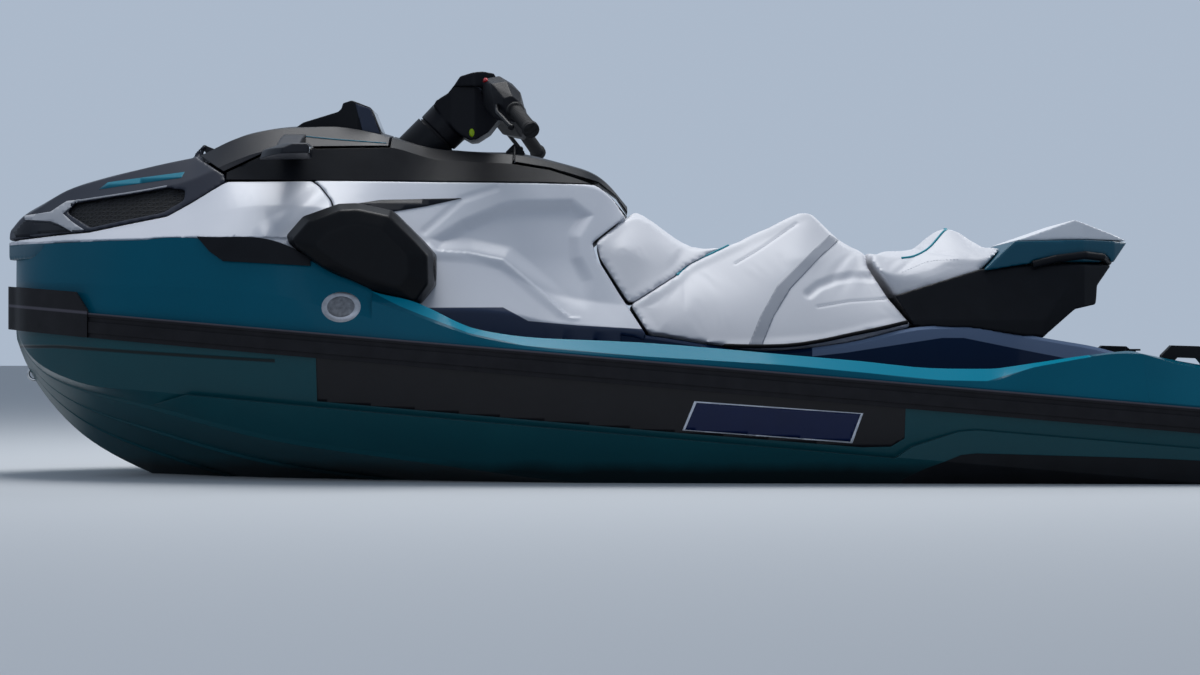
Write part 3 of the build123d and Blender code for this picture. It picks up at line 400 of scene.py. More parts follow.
black_film = satin_film("decal_vinyl_black", "#131215", "#1B1A1E", 0.42)
pale_film = satin_film("plate_vinyl_pale", "#C6CCD8", "#D2D7E0", 0.4)
blue_film = satin_film("plate_vinyl_blue", "#0B183A", "#0F1F48", 0.35)
hull_skin = skin_of(nodes["hull"])
for side, outward in SIDES:
    for name, film, outline, thick_mm, lift_mm in (
        ("decal_panel_", black_film, DECAL_PANEL, 0.5, 0.15),
        ("plate_border_", pale_film, PLATE, 0.3, 0.7),
        ("plate_field_", blue_film, moved_in(PLATE, PLATE_BORDER, PLATE_ASPECT), 0.3, 1.0),
    ):
        laid(name + side, film, hull_skin, outline, outward, thick_mm, step_mm=9,
             lift_mm=lift_mm)

# Bow badges: a domed silver disc on each flank of the fore deck.
# Polished and lacquered metal, brighter at the rim.
BADGE_AT, BADGE_HALF, BADGE_FACE_HALF = (-801, 429), (48, 37), (38.4, 28.86)
RIM_LIFT_MM = 1.2
silver = mottled("badge_metal_silver", "#77787C", "#B4B5BA", (14, 4), (6, 0.1, 1.5), roughness=0.3,
                 metallic=0.9)
badge_dark, tree, shader = new_finish("badge_enamel_grey_mottled", roughness=0.3)
place = place_of(tree)[0]
tint = mixed(tree, speckle(tree, place, 9, 5), "#1E2024", "#8A8C92")
coated_with(tree, shader, tint, speckle(tree, place, 7, 3), 0.6, 1.0)
deck_skin = skin_of(nodes["deck"])


def join_rows(shape, rows, capped=True):
    """Faces between closed rows of points, and over both ends where capped."""
    for low, high in zip(rows, rows[1:]):
        for k in range(len(low)):
            n = (k + 1) % len(low)
            shape.faces.new((low[k], low[n], high[n], high[k]))
    if capped:
        shape.faces.new(rows[0][::-1])
        shape.faces.new(rows[-1])


def domed(name, finish, skin, centre, half, outward, rise_mm, body="craft", rings=8, spokes=40):
    """Dome on a skin: an ellipse seen from outside that rises to rise_mm in the middle, with a flat rim."""
    shape = bmesh.new()
    rows = []
    for k in range(rings + 1):
        share = k / rings
        height = (rise_mm * (1 - share ** 4) + (RIM_LIFT_MM if k < rings else 0.0)) / 1000
        row = []
        for j in range(spokes if k else 1):
            turn = 2 * math.pi * j / spokes
            at = (centre[0] + half[0] * share * math.cos(turn), centre[1] + half[1] * share * math.sin(turn))
            point, normal = on_skin(skin, outward, at[0] / 1000, at[1] / 1000)
            row.append(shape.verts.new(point + normal * height))
        rows.append(row)
    for j in range(spokes):
        shape.faces.new((rows[0][0], rows[1][(j + 1) % spokes], rows[1][j]))
    join_rows(shape, rows[1:], False)
    face_out(shape, outward)
    add_piece(name, mesh_from(name, shape), finish, body)


for side, outward in SIDES:
    domed("badge_rim_" + side, silver, deck_skin, BADGE_AT, BADGE_HALF, outward, 2.0)
    domed("badge_face_" + side, badge_dark, deck_skin, BADGE_AT, BADGE_FACE_HALF, outward, 4.0)

# Side panels: injection-moulded ABS with a silver white lacquer, clipped over the fore deck.
# The lacquer is glossy with a faint pearl, and the mouldings have soft creases and a knee hollow.
KNEE_HOLLOW = ((-606, 606), (-526, 660), (-432, 702), (-390, 713), (-240, 717), (-182, 672), (-218, 612),
               (-214, 565), (-184, 505), (-180, 400), (-250, 408), (-324, 477), (-415, 552), (-500, 570),
               (-583, 575))
FLANGE_EDGE = ((-600, 574), (-583, 573), (-500, 570), (-415, 552), (-324, 475), (-267, 429), (-240, 420))
POD_RIDGE = ((-1000, 612), (-940, 655), (-880, 715), (-852, 742))
PANEL_CREASE = ((-614, 624), (-526, 709), (-441, 739))
FLANGE_BOTTOM = ((-690, 436), (-625, 429), (-414, 431), (-351, 397), (-225, 386), (-60, 377))
SIDE_ON = 0.3
RIDGE_RISE, RIDGE_WIDTH = 0.008, 0.035
TUCK_Z, TUCK_IN = 0.6015, 0.005
HOLLOW_DEPTH, HOLLOW_EDGE, HOLLOW_FOOT_Z, HOLLOW_FADE = 0.021, 0.042, 0.41, 0.16
FLANGE_RISE, FLANGE_WIDTH = 0.007, 0.030
CREASE_DEPTH, CREASE_WIDTH = 0.003, 0.016
UNDER_LID_HALF, UNDER_LID_FORE_X, UNDER_LID_AFT_X, UNDER_LID_DROP = 0.118, -0.215, -0.098, 0.009
NOSE_LIP_X, NOSE_LIP_Z = -1.5, 0.5985
SAME_POINT, FAR = 0.00002, 9.0
# Outline of the recess between the pod and the knee panel; the black sheet laid there is painted shade.
RECESS_SHADE = ((-792, 691), (-727, 703), (-526, 711), (-614, 689), (-692, 674), (-734, 665), (-763, 680))


def as_shown(made):
    """Object as its modifiers leave it."""
    return made.evaluated_get(bpy.context.evaluated_depsgraph_get())


def bake(made):
    """Apply a piece's modifiers to its mesh."""
    flat = bpy.data.meshes.new_from_object(as_shown(made))
    made.modifiers.clear()
    made.data = smoothed(flat)


def even_out(made, voxel_mm, rounds):
    """Remesh a piece evenly and ease its edges by rounds of smoothing."""
    even = made.modifiers.new("even", "REMESH")
    even.mode = "VOXEL"
    even.voxel_size = voxel_mm / 1000
    made.modifiers.new("ease", "SMOOTH").iterations = rounds
    bake(made)


def fine_copy(name, finish, source, voxel_mm, rounds, body="craft"):
    """Even fine mesh of a CAD solid with eased edges; it stands for that node."""
    joined = bmesh.new()
    joined.from_mesh(nodes[source].data)
    bmesh.ops.remove_doubles(joined, verts=joined.verts, dist=SAME_POINT)
    made = add_piece(name, mesh_from(name, joined), finish, body)
    even_out(made, voxel_mm, rounds)
    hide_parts(source)
    return made


def points_and_normals(made):
    """Places and normals of a mesh's points, one row each."""
    count = len(made.data.vertices)
    place, normal = np.empty(count * 3), np.empty(count * 3)
    made.data.vertices.foreach_get("co", place)
    made.data.vertices.foreach_get("normal", normal)
    return place.reshape(-1, 3), normal.reshape(-1, 3)


def move_points(made, place):
    """Put a mesh's points at new places."""
    made.data.vertices.foreach_set("co", place.ravel())
    made.data.update()


def line_distance(u, v, line, closed=False):
    """Distance in metres of each (u, v) from a line through points in millimetres."""
    best = np.full(u.shape, FAR)
    ends = list(zip(line, line[1:])) + ([(line[-1], line[0])] if closed else [])
    for (u0, v0), (u1, v1) in ends:
        du, dv = (u1 - u0) / 1000, (v1 - v0) / 1000
        share = np.clip(((u - u0 / 1000) * du + (v - v0 / 1000) * dv) / (du * du + dv * dv), 0, 1)
        best = np.minimum(best, np.hypot(u - u0 / 1000 - share * du, v - v0 / 1000 - share * dv))
    return best


def depth_inside(u, v, outline):
    """Distance of each (u, v) from a closed outline, positive inside."""
    crossings = np.zeros(u.shape, int)
    for (u0, v0), (u1, v1) in zip(outline, outline[1:] + outline[:1]):
        spans = (v0 / 1000 > v) != (v1 / 1000 > v)
        slope = (u1 - u0) / (v1 - v0) if v1 != v0 else 0.0
        crossings += spans & (u < u0 / 1000 + (v - v0 / 1000) * slope)
    return np.where(crossings % 2 == 1, 1, -1) * line_distance(u, v, outline, True)


def soft_step(value, width):
    """0 to 1 as the value rises from 0 to width, with no corner."""
    t = np.clip(value / width, 0, 1)
    return t * t * (3 - 2 * t)


def near_line(u, v, line, width):
    """1 on a line, falling to 0 at width metres from it."""
    return 1 - soft_step(line_distance(u, v, line), width)


pearl, tree, shader = new_finish("panel_lacquer_silver_white", roughness=0.4, specular_ior_level=0.35,
                                coat_weight=0.1, coat_roughness=0.15)
place, x, _, z = place_of(tree)
tint = mixed(tree, speckle(tree, place, 260), "#C6C9D2", "#D2D5DC")
tint = mixed(tree, above(tree, x, z, FLANGE_BOTTOM), "#052040", tint)
nose_lip = times(tree, step_down(tree, x, NOSE_LIP_X), step_down(tree, z, NOSE_LIP_Z))
tint = mixed(tree, nose_lip, tint, "#03485C")
coated_with(tree, shader, tint, speckle(tree, place, 30), 0.08, 1.5)
black_abs_and_recess_shade = black_moulding("panel_fin_abs_black", "#14161B", "#20232B", 0.38)
for side, outward in SIDES:
    sign = outward.y
    front = fine_copy("front_side_" + side, pearl, "front_panel_" + side, 5, 2)
    knee = fine_copy("knee_side_" + side, pearl, "knee_panel_" + side, 4.5, 2)
    place, normal = points_and_normals(front)
    outer = soft_step(normal[:, 1] * sign, SIDE_ON)
    ridge = RIDGE_RISE * near_line(place[:, 0], place[:, 2], POD_RIDGE, RIDGE_WIDTH)
    place[:, 1] += sign * (outer * ridge - TUCK_IN * (place[:, 2] < TUCK_Z))
    move_points(front, place)
    place, normal = points_and_normals(knee)
    outer = soft_step(normal[:, 1] * sign, SIDE_ON)
    u, v = place[:, 0], place[:, 2]
    inside = depth_inside(u, v, KNEE_HOLLOW)
    hollow = HOLLOW_DEPTH * soft_step(inside, HOLLOW_EDGE) * soft_step(v - HOLLOW_FOOT_Z, HOLLOW_FADE)
    flange = np.where(inside > 0, 0, FLANGE_RISE * near_line(u, v, FLANGE_EDGE, FLANGE_WIDTH))
    crease = CREASE_DEPTH * near_line(u, v, PANEL_CREASE, CREASE_WIDTH)
    place[:, 1] += sign * outer * (flange - hollow - crease)
    under_lid = (np.abs(place[:, 1]) < UNDER_LID_HALF) & (u > UNDER_LID_FORE_X) & (u < UNDER_LID_AFT_X)
    place[:, 2] -= UNDER_LID_DROP * under_lid
    move_points(knee, place)
    # A black sheet on the panels, between pod and knee panel, is painted shade in the recess there.
    laid("panel_fin_" + side, black_abs_and_recess_shade, skin_of(knee, front), RECESS_SHADE, outward, 2.2)

# Hood: an ABS moulding in satin graphite lacquer over the bow, with black intakes and silver trims.
# The satin lacquer gives broad soft highlights with a blue cast.
HOOD_TRIM = ((-1681, 675), (-1595, 682), (-1550, 708), (-1512, 711), (-1527, 700), (-1556, 676), (-1526, 653),
             (-1478, 625), (-1512, 622), (-1566, 648), (-1592, 657), (-1674, 664))
TRIM_LINE = ((-1530, 708), (-1450, 717), (-1362, 728), (-1276, 742))
HOOD_ACCENT = ((-1465, 738), (-1443, 757), (-1235, 780), (-1240, 764))
NOSE_GRILLE = ((-1712, 636), (-1692, 612), (-1588, 610), (-1512, 621), (-1566, 645), (-1594, 654),
               (-1678, 661))
graphite = mottled("hood_lacquer_graphite", "#1D202B", "#272B38", (200,), (30, 0.08, 1.5), roughness=0.42,
                   specular_ior_level=0.3)
trim_silver = satin_film("hood_trim_silver", "#A2A4AA", "#B4B6BC", 0.3)
teal_film = satin_film("accent_vinyl_teal", "#0B6478", "#0E7086", 0.35)


def along_line(line, step_mm):
    """Points a step apart on a smooth line through the given points."""
    points = [Vector((u, v)) for u, v in line]
    ends = [points[0] * 2 - points[1]] + points + [points[-1] * 2 - points[-2]]
    made = []
    for a, b, c, d in zip(ends, ends[1:], ends[2:], ends[3:]):
        count = max(1, round((c - b).length / step_mm))
        for k in range(count):
            t = k / count
            made.append(0.5 * (2 * b + (c - a) * t + (2 * a - 5 * b + 4 * c - d) * t * t
                               + (3 * b - a - 3 * c + d) * t ** 3))
    return [(p.x, p.y) for p in made + [points[-1]]]


def traced(skin, line, outward, step_mm=5, lift_mm=0.0):
    """Points on the skin along a line seen from outside."""
    found = [on_skin(skin, outward, u / 1000, v / 1000) for u, v in along_line(line, step_mm)]
    return [point + normal * lift_mm / 1000 for point, normal in found if point is not None]


def tubes(name, finish, paths, radius_mm, body="craft"):
    """Round cords along paths of points, as one mesh."""
    curve = bpy.data.curves.new(name, "CURVE")
    curve.dimensions = "3D"
    curve.bevel_depth = radius_mm / 1000
    curve.bevel_resolution = 2
    curve.use_fill_caps = True
    for path in paths:
        spline = curve.splines.new("POLY")
        spline.points.add(len(path) - 1)
        for point, at in zip(spline.points, path):
            point.co = (*at, 1.0)
    drawn = in_scene(name, curve)
    mesh = bpy.data.meshes.new_from_object(as_shown(drawn))
    bpy.data.objects.remove(drawn)
    add_piece(name, smoothed(mesh), finish, body)


hood_skin = skin_of(fine_copy("hood_shell", graphite, "hood", 5, 2))
for side, outward in SIDES:
    laid("nose_grille_" + side, black_abs_and_recess_shade, hood_skin, NOSE_GRILLE, outward, 0.8,
         step_mm=8)
    laid("hood_trim_" + side, trim_silver, hood_skin, HOOD_TRIM, outward, 2.6, step_mm=8)
    laid("hood_accent_" + side, teal_film, hood_skin, HOOD_ACCENT, outward, 0.3)
    run = traced(hood_skin, TRIM_LINE, outward)
    tubes("hood_trim_line_" + side, trim_silver, [run], 2.2)

# Hood intakes: black honeycomb grilles set back behind the hood's openings.
# Each cell is a small pit painted near black, as painted shade, so the grille looks deep and matt.
CELL_MM, WEB_HALF = 11, 0.14
mesh_black, tree, shader = new_finish("grille_abs_honeycomb", roughness=0.6, specular_ior_level=0.25)
place = place_of(tree)[0]
cell = put(tree, "ShaderNodeTexVoronoi", {"Vector": place, "Scale": 1000 / CELL_MM, "Randomness": 0.15},
           feature="DISTANCE_TO_EDGE").outputs["Distance"]
web = step_down(tree, cell, WEB_HALF, 0.08)
# The cells are painted near black: painted shade in the pits.
coated_with(tree, shader, mixed(tree, web, "#020203", "#15161A"), web, 3.0, 1.0)
dress(mesh_black, *pair("intake_grille"))

# Storage lid and mirrors: ABS in black satin lacquer, hinged at the front, with a thin teal line each side.
# The lacquer is a shade bluer than the grained mouldings round it and shows broad soft highlights.
LID_LINE = ((-930, 873), (-860, 866), (-780, 860), (-722, 856))
MIRROR_GLASS = ((342, 807), (430, 813), (434, 827), (342, 834))
MIRROR_AFT_X, MIRROR_MID_Z = -0.890, 0.822
TAPER_FROM_Y, TAPER_RUN, TAPER_AFT, TAPER_FLAT = 0.325, 0.123, 0.5, 0.4
lid_black = mottled("lid_lacquer_blue_black", "#0D0F16", "#13161F", (200,), (30, 0.08, 2.5), roughness=0.45,
                    specular_ior_level=0.25)
dress(lid_black, "front_lid")
teal_line = satin_film("lid_line_teal", "#0A6478", "#0C7086", 0.35)


def glass(name, low, high, patch_mm, **sockets):
    """Smooth glass that drifts between two colours."""
    made, tree, shader = new_finish(name, **sockets)
    tint = mixed(tree, speckle(tree, place_of(tree)[0], patch_mm), low, high)
    tree.links.new(tint, shader.inputs["Base Color"])
    return made


mirror_glass = glass("mirror_glass_silvered", "#B8BEC4", "#C4CACF", 60, roughness=0.04, metallic=1.0)
lid_skin = skin_of(nodes["front_lid"])
for side, outward in SIDES:
    mirror = fine_copy("mirror_shell_" + side, lid_black, "mirror_" + side, 3, 10,
                       "storage_lid")
    place = points_and_normals(mirror)[0]
    reach = np.clip((np.abs(place[:, 1]) - TAPER_FROM_Y) / TAPER_RUN, 0, 1)
    place[:, 0] += (MIRROR_AFT_X - place[:, 0]) * TAPER_AFT * reach ** 2
    place[:, 2] += (MIRROR_MID_Z - place[:, 2]) * TAPER_FLAT * reach ** 2
    move_points(mirror, place)
    run = traced(lid_skin, LID_LINE, outward, 6, 0.2)
    tubes("lid_line_" + side, teal_line, [run], 1.6, "storage_lid")
    pane = [(outward.y * a, b) for a, b in MIRROR_GLASS]
    laid("mirror_glass_" + side, mirror_glass, skin_of(mirror), pane, AFT, 1.0, "storage_lid",
         step_mm=12)

# Console and other mouldings: grained black ABS, injection moulded and screwed on. The grain scatters the
# light, and a painted highlight makes the sharp edges paler. A soft bead fills the gap ahead of the glovebox
# lid.
SEAL_X, SEAL_HALF, SEAL_LEDGE, SEAL_SINK, SEAL_POINTS = -0.3955, 0.104, 0.005, 0.0042, 17
abs_black = black_moulding("console_abs_grained", "#0B0C10", "#17191E", 0.42)
dress(abs_black, "console", "glovebox_lid", *pair("flank_vent"), "steering_collar", "storage_bin",
      "glovebox_tub", "grab_bar", "step_bracket")
console_skin = skin_of(nodes["console"])
seal_path = []
for across in np.linspace(-SEAL_HALF, SEAL_HALF, SEAL_POINTS):
    point = on_skin(console_skin, TOP, SEAL_X - SEAL_LEDGE, across)[0]
    seal_path.append(point + Vector((SEAL_LEDGE, 0, -SEAL_SINK)))
tubes("glovebox_seal", abs_black, [seal_path], 3.0)

# Speaker pods: hollow ABS housings bolted over the fore deck, with a loudspeaker in the aft face.
# They are semi-gloss with well rounded edges, and the speaker sits behind a round grille of small holes.
SPEAKER_AT, SPEAKER_R = (440, 524), 32
pod_gloss = black_moulding("pod_abs_semi_gloss", "#08090C", "#101216", 0.38, 3.0, 5.0)
for side, outward in SIDES:
    pod = fine_copy("pod_shell_" + side, pod_gloss, "speaker_pod_" + side, 4, 8)
    at = (outward.y * SPEAKER_AT[0], SPEAKER_AT[1])
    domed("speaker_grille_" + side, mesh_black, skin_of(pod), at, (SPEAKER_R, SPEAKER_R), AFT, 3.0)

# Steering: a moulded ABS cover over the column and hub, with a soft pad on top of the steel bar.
# The mouldings are grained black with eased edges, and the bar is powder coated.
HUB = ((-608, 962), (-600, 976), (-571, 992), (-554, 1013), (-534, 1032), (-502, 1039), (-479, 1043),
       (-452, 1039), (-436, 1016), (-430, 985), (-437, 925), (-462, 893), (-494, 873), (-512, 871),
       (-545, 890))
HUB_PLAN = ((-620, 50), (-560, 66), (-500, 74), (-430, 60))
HUB_HALF, PAD_HALF = 74, 96
PAD = ((-556, 1010), (-536, 1037), (-503, 1046), (-478, 1049), (-448, 1044), (-434, 1020), (-470, 1008))
PAD_PLAN = ((-566, 58), (-540, 80), (-500, 92), (-430, 80))
COLUMN_FOOT, COLUMN_TILT = Vector((-0.600, 0, 0.893)), math.radians(45)
COLUMN_SLEEVE = ((1, 4), (1, 60), (70, 62), (112, 52), (112, 4))
TURN_POINTS = 48
column = Vector((math.sin(COLUMN_TILT), 0, math.cos(COLUMN_TILT)))


def side_block(outline, half_width):
    """Closed shape: an outline in millimetres seen from the side, drawn out each way from the middle."""
    shape = bmesh.new()
    rows = [[shape.verts.new((u / 1000, sign * half_width / 1000, v / 1000)) for u, v in outline]
            for sign in (-1, 1)]
    join_rows(shape, rows)
    return shape


def trim_to_plan(shape, half):
    """Cut off what lies outside a convex outline seen from above, given as its starboard half."""
    plan = [(x, -y) for x, y in half] + list(half[::-1])
    middle = Vector((*middle_of(plan), 0)) / 1000
    for (x0, y0), (x1, y1) in zip(plan, plan[1:] + plan[:1]):
        at = Vector((x0 / 1000, y0 / 1000, 0))
        across = Vector(((y1 - y0) / 1000, (x0 - x1) / 1000, 0))
        if across.dot(middle - at) > 0:
            across = -across
        cut = sliced(shape, at, across, clear_outer=True)
        edges = [part for part in cut["geom_cut"] if isinstance(part, bmesh.types.BMEdge)]
        bmesh.ops.contextual_create(shape, geom=edges)


def turned_on(shape, foot, axis, profile, count=TURN_POINTS, aside=None):
    """Add a shape of revolution, (distance along the axis, radius) in millimetres; open if aside is given."""
    start = aside or axis.orthogonal().normalized()
    beside = axis.cross(start)
    turns = [2 * math.pi * k / count for k in range(count)]
    spokes = [start * math.cos(t) + beside * math.sin(t) for t in turns]
    rows = [[shape.verts.new(foot + (axis * along + spoke * radius) / 1000) for spoke in spokes]
            for along, radius in profile]
    join_rows(shape, rows, not aside)


def eased(name, finish, shape, voxel_mm, rounds, source=None, body="steering"):
    """Piece from closed shapes that overlap, made one even mesh with eased edges."""
    bmesh.ops.recalc_face_normals(shape, faces=shape.faces[:])
    made = add_piece(name, mesh_from(name, shape), finish, body)
    even_out(made, voxel_mm, rounds)
    if source:
        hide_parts(source)
    return made


cover_black = black_moulding("steering_abs_grained", "#0C0C10", "#191A20", 0.4)
coated = black_moulding("bar_steel_powder_coated", "#0A0A0C", "#141518", 0.3, 0.6, 1.0)
hub = side_block(HUB, HUB_HALF)
trim_to_plan(hub, HUB_PLAN)
turned_on(hub, COLUMN_FOOT, column, COLUMN_SLEEVE)
steering_cover = eased("steering_cover", cover_black, hub, 3, 3, "steering_stem")
pad = side_block(PAD, PAD_HALF)
trim_to_plan(pad, PAD_PLAN)
steering_pad = eased("steering_pad", cover_black, pad, 3, 5, "bar_pad")
dress(coated, "handlebar")

# Instruments: a hood moulded in ABS on the storage lid, a dark glass display in its aft face, and grey blue
# cheeks. The brow runs forward over the lid, and the glass is smooth and nearly black when off.
VISOR = ((-980, 872), (-980, 893), (-944, 915), (-850, 942), (-842, 950), (-838, 964), (-815, 971),
         (-766, 953), (-735, 874), (-735, 852))
VISOR_HALF = 117
VISOR_PLAN = ((-1000, 60), (-940, 96), (-850, 112), (-800, 117), (-733, 92))
DISPLAY = ((-92, 893), (92, 893), (80, 946), (-80, 946))
VISOR_CHEEK = ((-806, 963), (-767, 950), (-741, 880), (-784, 880))
glass_black = glass("display_glass_black", "#04050A", "#080A12", 80, roughness=0.06)
cheek_grey = satin_film("cheek_abs_grey_blue", "#2A3142", "#333B4E", 0.4)
brow = side_block(VISOR, VISOR_HALF)
trim_to_plan(brow, VISOR_PLAN)
visor_skin = skin_of(eased("visor_shell", abs_black, brow, 3, 2, "visor", "storage_lid"))
laid("gauge_display", glass_black, visor_skin, DISPLAY, AFT, 1.0, "storage_lid", step_mm=20)
for side, outward in SIDES:
    laid("visor_cheek_" + side, cheek_grey, visor_skin, VISOR_CHEEK, outward, 0.8,
         "storage_lid", step_mm=10)

# Switch housings and levers: two nylon shells round the bar, with a finger lever pivoted ahead of each grip.
# The shells are blasted black nylon, and the levers are forged and painted.
HOUSING = (
    (100, ((-477, 1021), (-443, 1031), (-421, 1017), (-417, 981), (-437, 953), (-475, 957))),
    (164, ((-469, 1021), (-431, 1029), (-396, 1008), (-384, 972), (-406, 930), (-460, 936))),
    (228, ((-450, 1002), (-410, 1008), (-374, 980), (-364, 942), (-386, 902), (-438, 910))),
    (276, ((-416, 960), (-394, 966), (-370, 946), (-364, 920), (-378, 898), (-408, 904))),
)
LEVER = ((-426, 224, 956), (-434, 252, 942), (-431, 280, 925), (-414, 320, 905), (-393, 366, 880))
KNOB = ((-8, 2), (-7, 6), (0, 9), (6, 7), (9, 2))
pod_black = black_moulding("switch_pod_nylon", "#101014", "#1A1B20", 0.42, 0.8, 1.2)
housings = []
for side, outward in SIDES:
    sign = outward.y
    shell = bmesh.new()
    rows = [[shell.verts.new((u / 1000, sign * y / 1000, v / 1000)) for u, v in outline]
            for y, outline in HOUSING]
    join_rows(shell, rows)
    housings.append(eased("switch_housing_" + side, pod_black, shell, 2.5, 3, "switch_pod_" + side))
    path = [Vector((x / 1000, sign * y / 1000, z / 1000)) for x, y, z in LEVER]
    tubes("lever_" + side, coated, [path], 6.0, "steering")
    knob = bmesh.new()
    turned_on(knob, path[-1], (path[-1] - path[-2]).normalized(), KNOB, 20)
    eased("lever_knob_" + side, coated, knob, 1.5, 2)

# Grips: ribbed rubber sleeves pressed on the ends of the bar, flared at both ends.
# Soft rubber is matt, and its fine ribs run round the grip; the grooves between them are painted darker, as
# painted shade.
BAR_RUN = (Vector((-0.414, 0.222, 0.966)), Vector((-0.341, 0.400, 0.868)))
GRIP = ((78, 12), (79, 24), (88, 23), (94, 18), (192, 18.5), (200, 22), (214, 21), (217, 12))
RIB_PITCH_MM, RIB_HALF = 7.0, 0.0016
grip_rubber, tree, shader = new_finish("grip_rubber_ribbed", roughness=0.7, specular_ior_level=0.25)
y = place_of(tree)[2]
rib = step_up(tree, math_of(tree, "PINGPONG", y, RIB_PITCH_MM / 2000), RIB_HALF, 0.0014)
# The grooves between ribs are painted darker: painted shade.
coated_with(tree, shader, mixed(tree, rib, "#060607", "#141416"), rib, 1.2, 1.0)
for side, outward in SIDES:
    ends = [Vector((at.x, outward.y * at.y, at.z)) for at in BAR_RUN]
    grip = bmesh.new()
    turned_on(grip, ends[0], (ends[1] - ends[0]).normalized(), GRIP, 40)
    eased("grip_sleeve_" + side, grip_rubber, grip, 2, 2, "grip_" + side)

# Column gaiter: a short ribbed rubber sleeve that closes the gap between the fixed collar and the turning
# cover. It turns with the bars and slides inside the collar.
GAITER = ((-12, 52), (-9, 57), (-6, 54), (-3, 58), (0, 54), (3, 57))
sleeve = bmesh.new()
across = Vector((math.cos(COLUMN_TILT), 0, -math.sin(COLUMN_TILT)))
turned_on(sleeve, COLUMN_FOOT, column, GAITER, aside=across)
sleeve.normal_update()
add_piece("steering_gaiter", mesh_from("steering_gaiter", sleeve), rubber, "steering")

# Small controls on the bars: a red stop button and a yellow-green safety lanyard clip on the port side, both
# of glossy nylon and the only bright colours there, and a painted alloy clamp band on each side.
BUTTON_AT, BUTTON_HALF = (-466, 1017), (7, 5)
LANYARD_AT, LANYARD_HALF = (-506, 890), (7, 11)
CLAMP_LINE = ((-503, 1014), (-484, 1006), (-470, 986), (-464, 960))
red_nylon = satin_film("button_nylon_red", "#9A1016", "#B4161C", 0.3)
lanyard_nylon = satin_film("lanyard_nylon_yellow_green", "#8FB010", "#A4C41C", 0.35)
bars_skin = skin_of(steering_cover, steering_pad, *housings)
clamp_grey = black_moulding("clamp_alloy_painted", "#24262C", "#34373F", 0.35, 0.8, 1.0)
cover_skin = skin_of(steering_cover)
for side, outward in SIDES:
    run = traced(cover_skin, CLAMP_LINE, outward, 4, 1.0)
    tubes("lever_clamp_" + side, clamp_grey, [run], 4.5, "steering")
domed("stop_button", red_nylon, bars_skin, BUTTON_AT, BUTTON_HALF, PORT, 3.0, "steering")
domed("lanyard_clip", lanyard_nylon, bars_skin, LANYARD_AT, LANYARD_HALF, PORT, 4.0,
      "steering")

# Deck fittings: cleats and tow hook in glass-filled nylon, eyes in polished stainless steel.
# Polished steel mirrors the pale studio; nylon is matt.
dress(black_moulding("fitting_nylon_black", "#0C0D10", "#1B1C20", 0.5, 0.8, 1.5), *pair("cleat"), "tow_hook")
steel = mottled("fitting_stainless_polished", "#A9ABAD", "#C9CBCC", (12, 4), (1.2, 0.05, 0.8), roughness=0.16,
                metallic=1.0)
dress(steel, "bow_eye", *pair("stern_eye"), "boarding_step")

# Seats: moulded foam under thermoformed marine vinyl, sewn with twin lines and a teal piping.
# The vinyl has a fine leather grain; a darker grey strap crosses the middle seat.
STRAP = ((197, 331), (230, 328), (266, 410), (312, 481), (390, 560), (449, 610), (424, 623), (360, 566),
         (278, 487), (232, 410))
SEAT_STITCHES = (((176, 546), (241, 585), (339, 653)), ((379, 434), (464, 448), (555, 454)))
SEAT_FOLD = ((358, 467), (385, 488), (427, 504), (473, 513), (522, 510))
PIPING = ((26, 515), (57, 543), (120, 574), (217, 621), (345, 681), (368, 691))
REAR_PIPING = ((604, -152), (640, -147), (680, -126), (716, -90), (731, -62), (736, 0), (731, 62), (716, 90),
               (680, 126), (640, 147), (604, 152))
REAR_STITCH = ((600, 523), (640, 540), (675, 552), (744, 556))
FOLD_DEPTH, FOLD_WIDTH = 0.006, 0.018
STITCH_SINK, STITCH_WIDTH = 0.0016, 0.007
FILL_PRESSURE, FILL_FRAMES, SEWN_HALF, SEWN_LEAST = 4.0, 20, 0.004, 0.02
vinyl = mottled("seat_vinyl_light_grey", "#C9CAD0", "#D6D7DC", (180,), (2.0, 0.1, 1.0), roughness=0.5,
                sheen_weight=0.1)
strap_vinyl = satin_film("strap_vinyl_grey", "#8F939C", "#9DA1AA", 0.5)
piping_vinyl = satin_film("piping_vinyl_teal", "#0A7F90", "#0C8C9E", 0.45)
thread = satin_film("stitch_thread_pale", "#E4E5EA", "#F0F1F4", 0.6)


def stitched(path, dash=3):
    """Short runs of a path, with a gap after each."""
    return [path[k:k + dash] for k in range(0, len(path) - dash, dash + 1)]


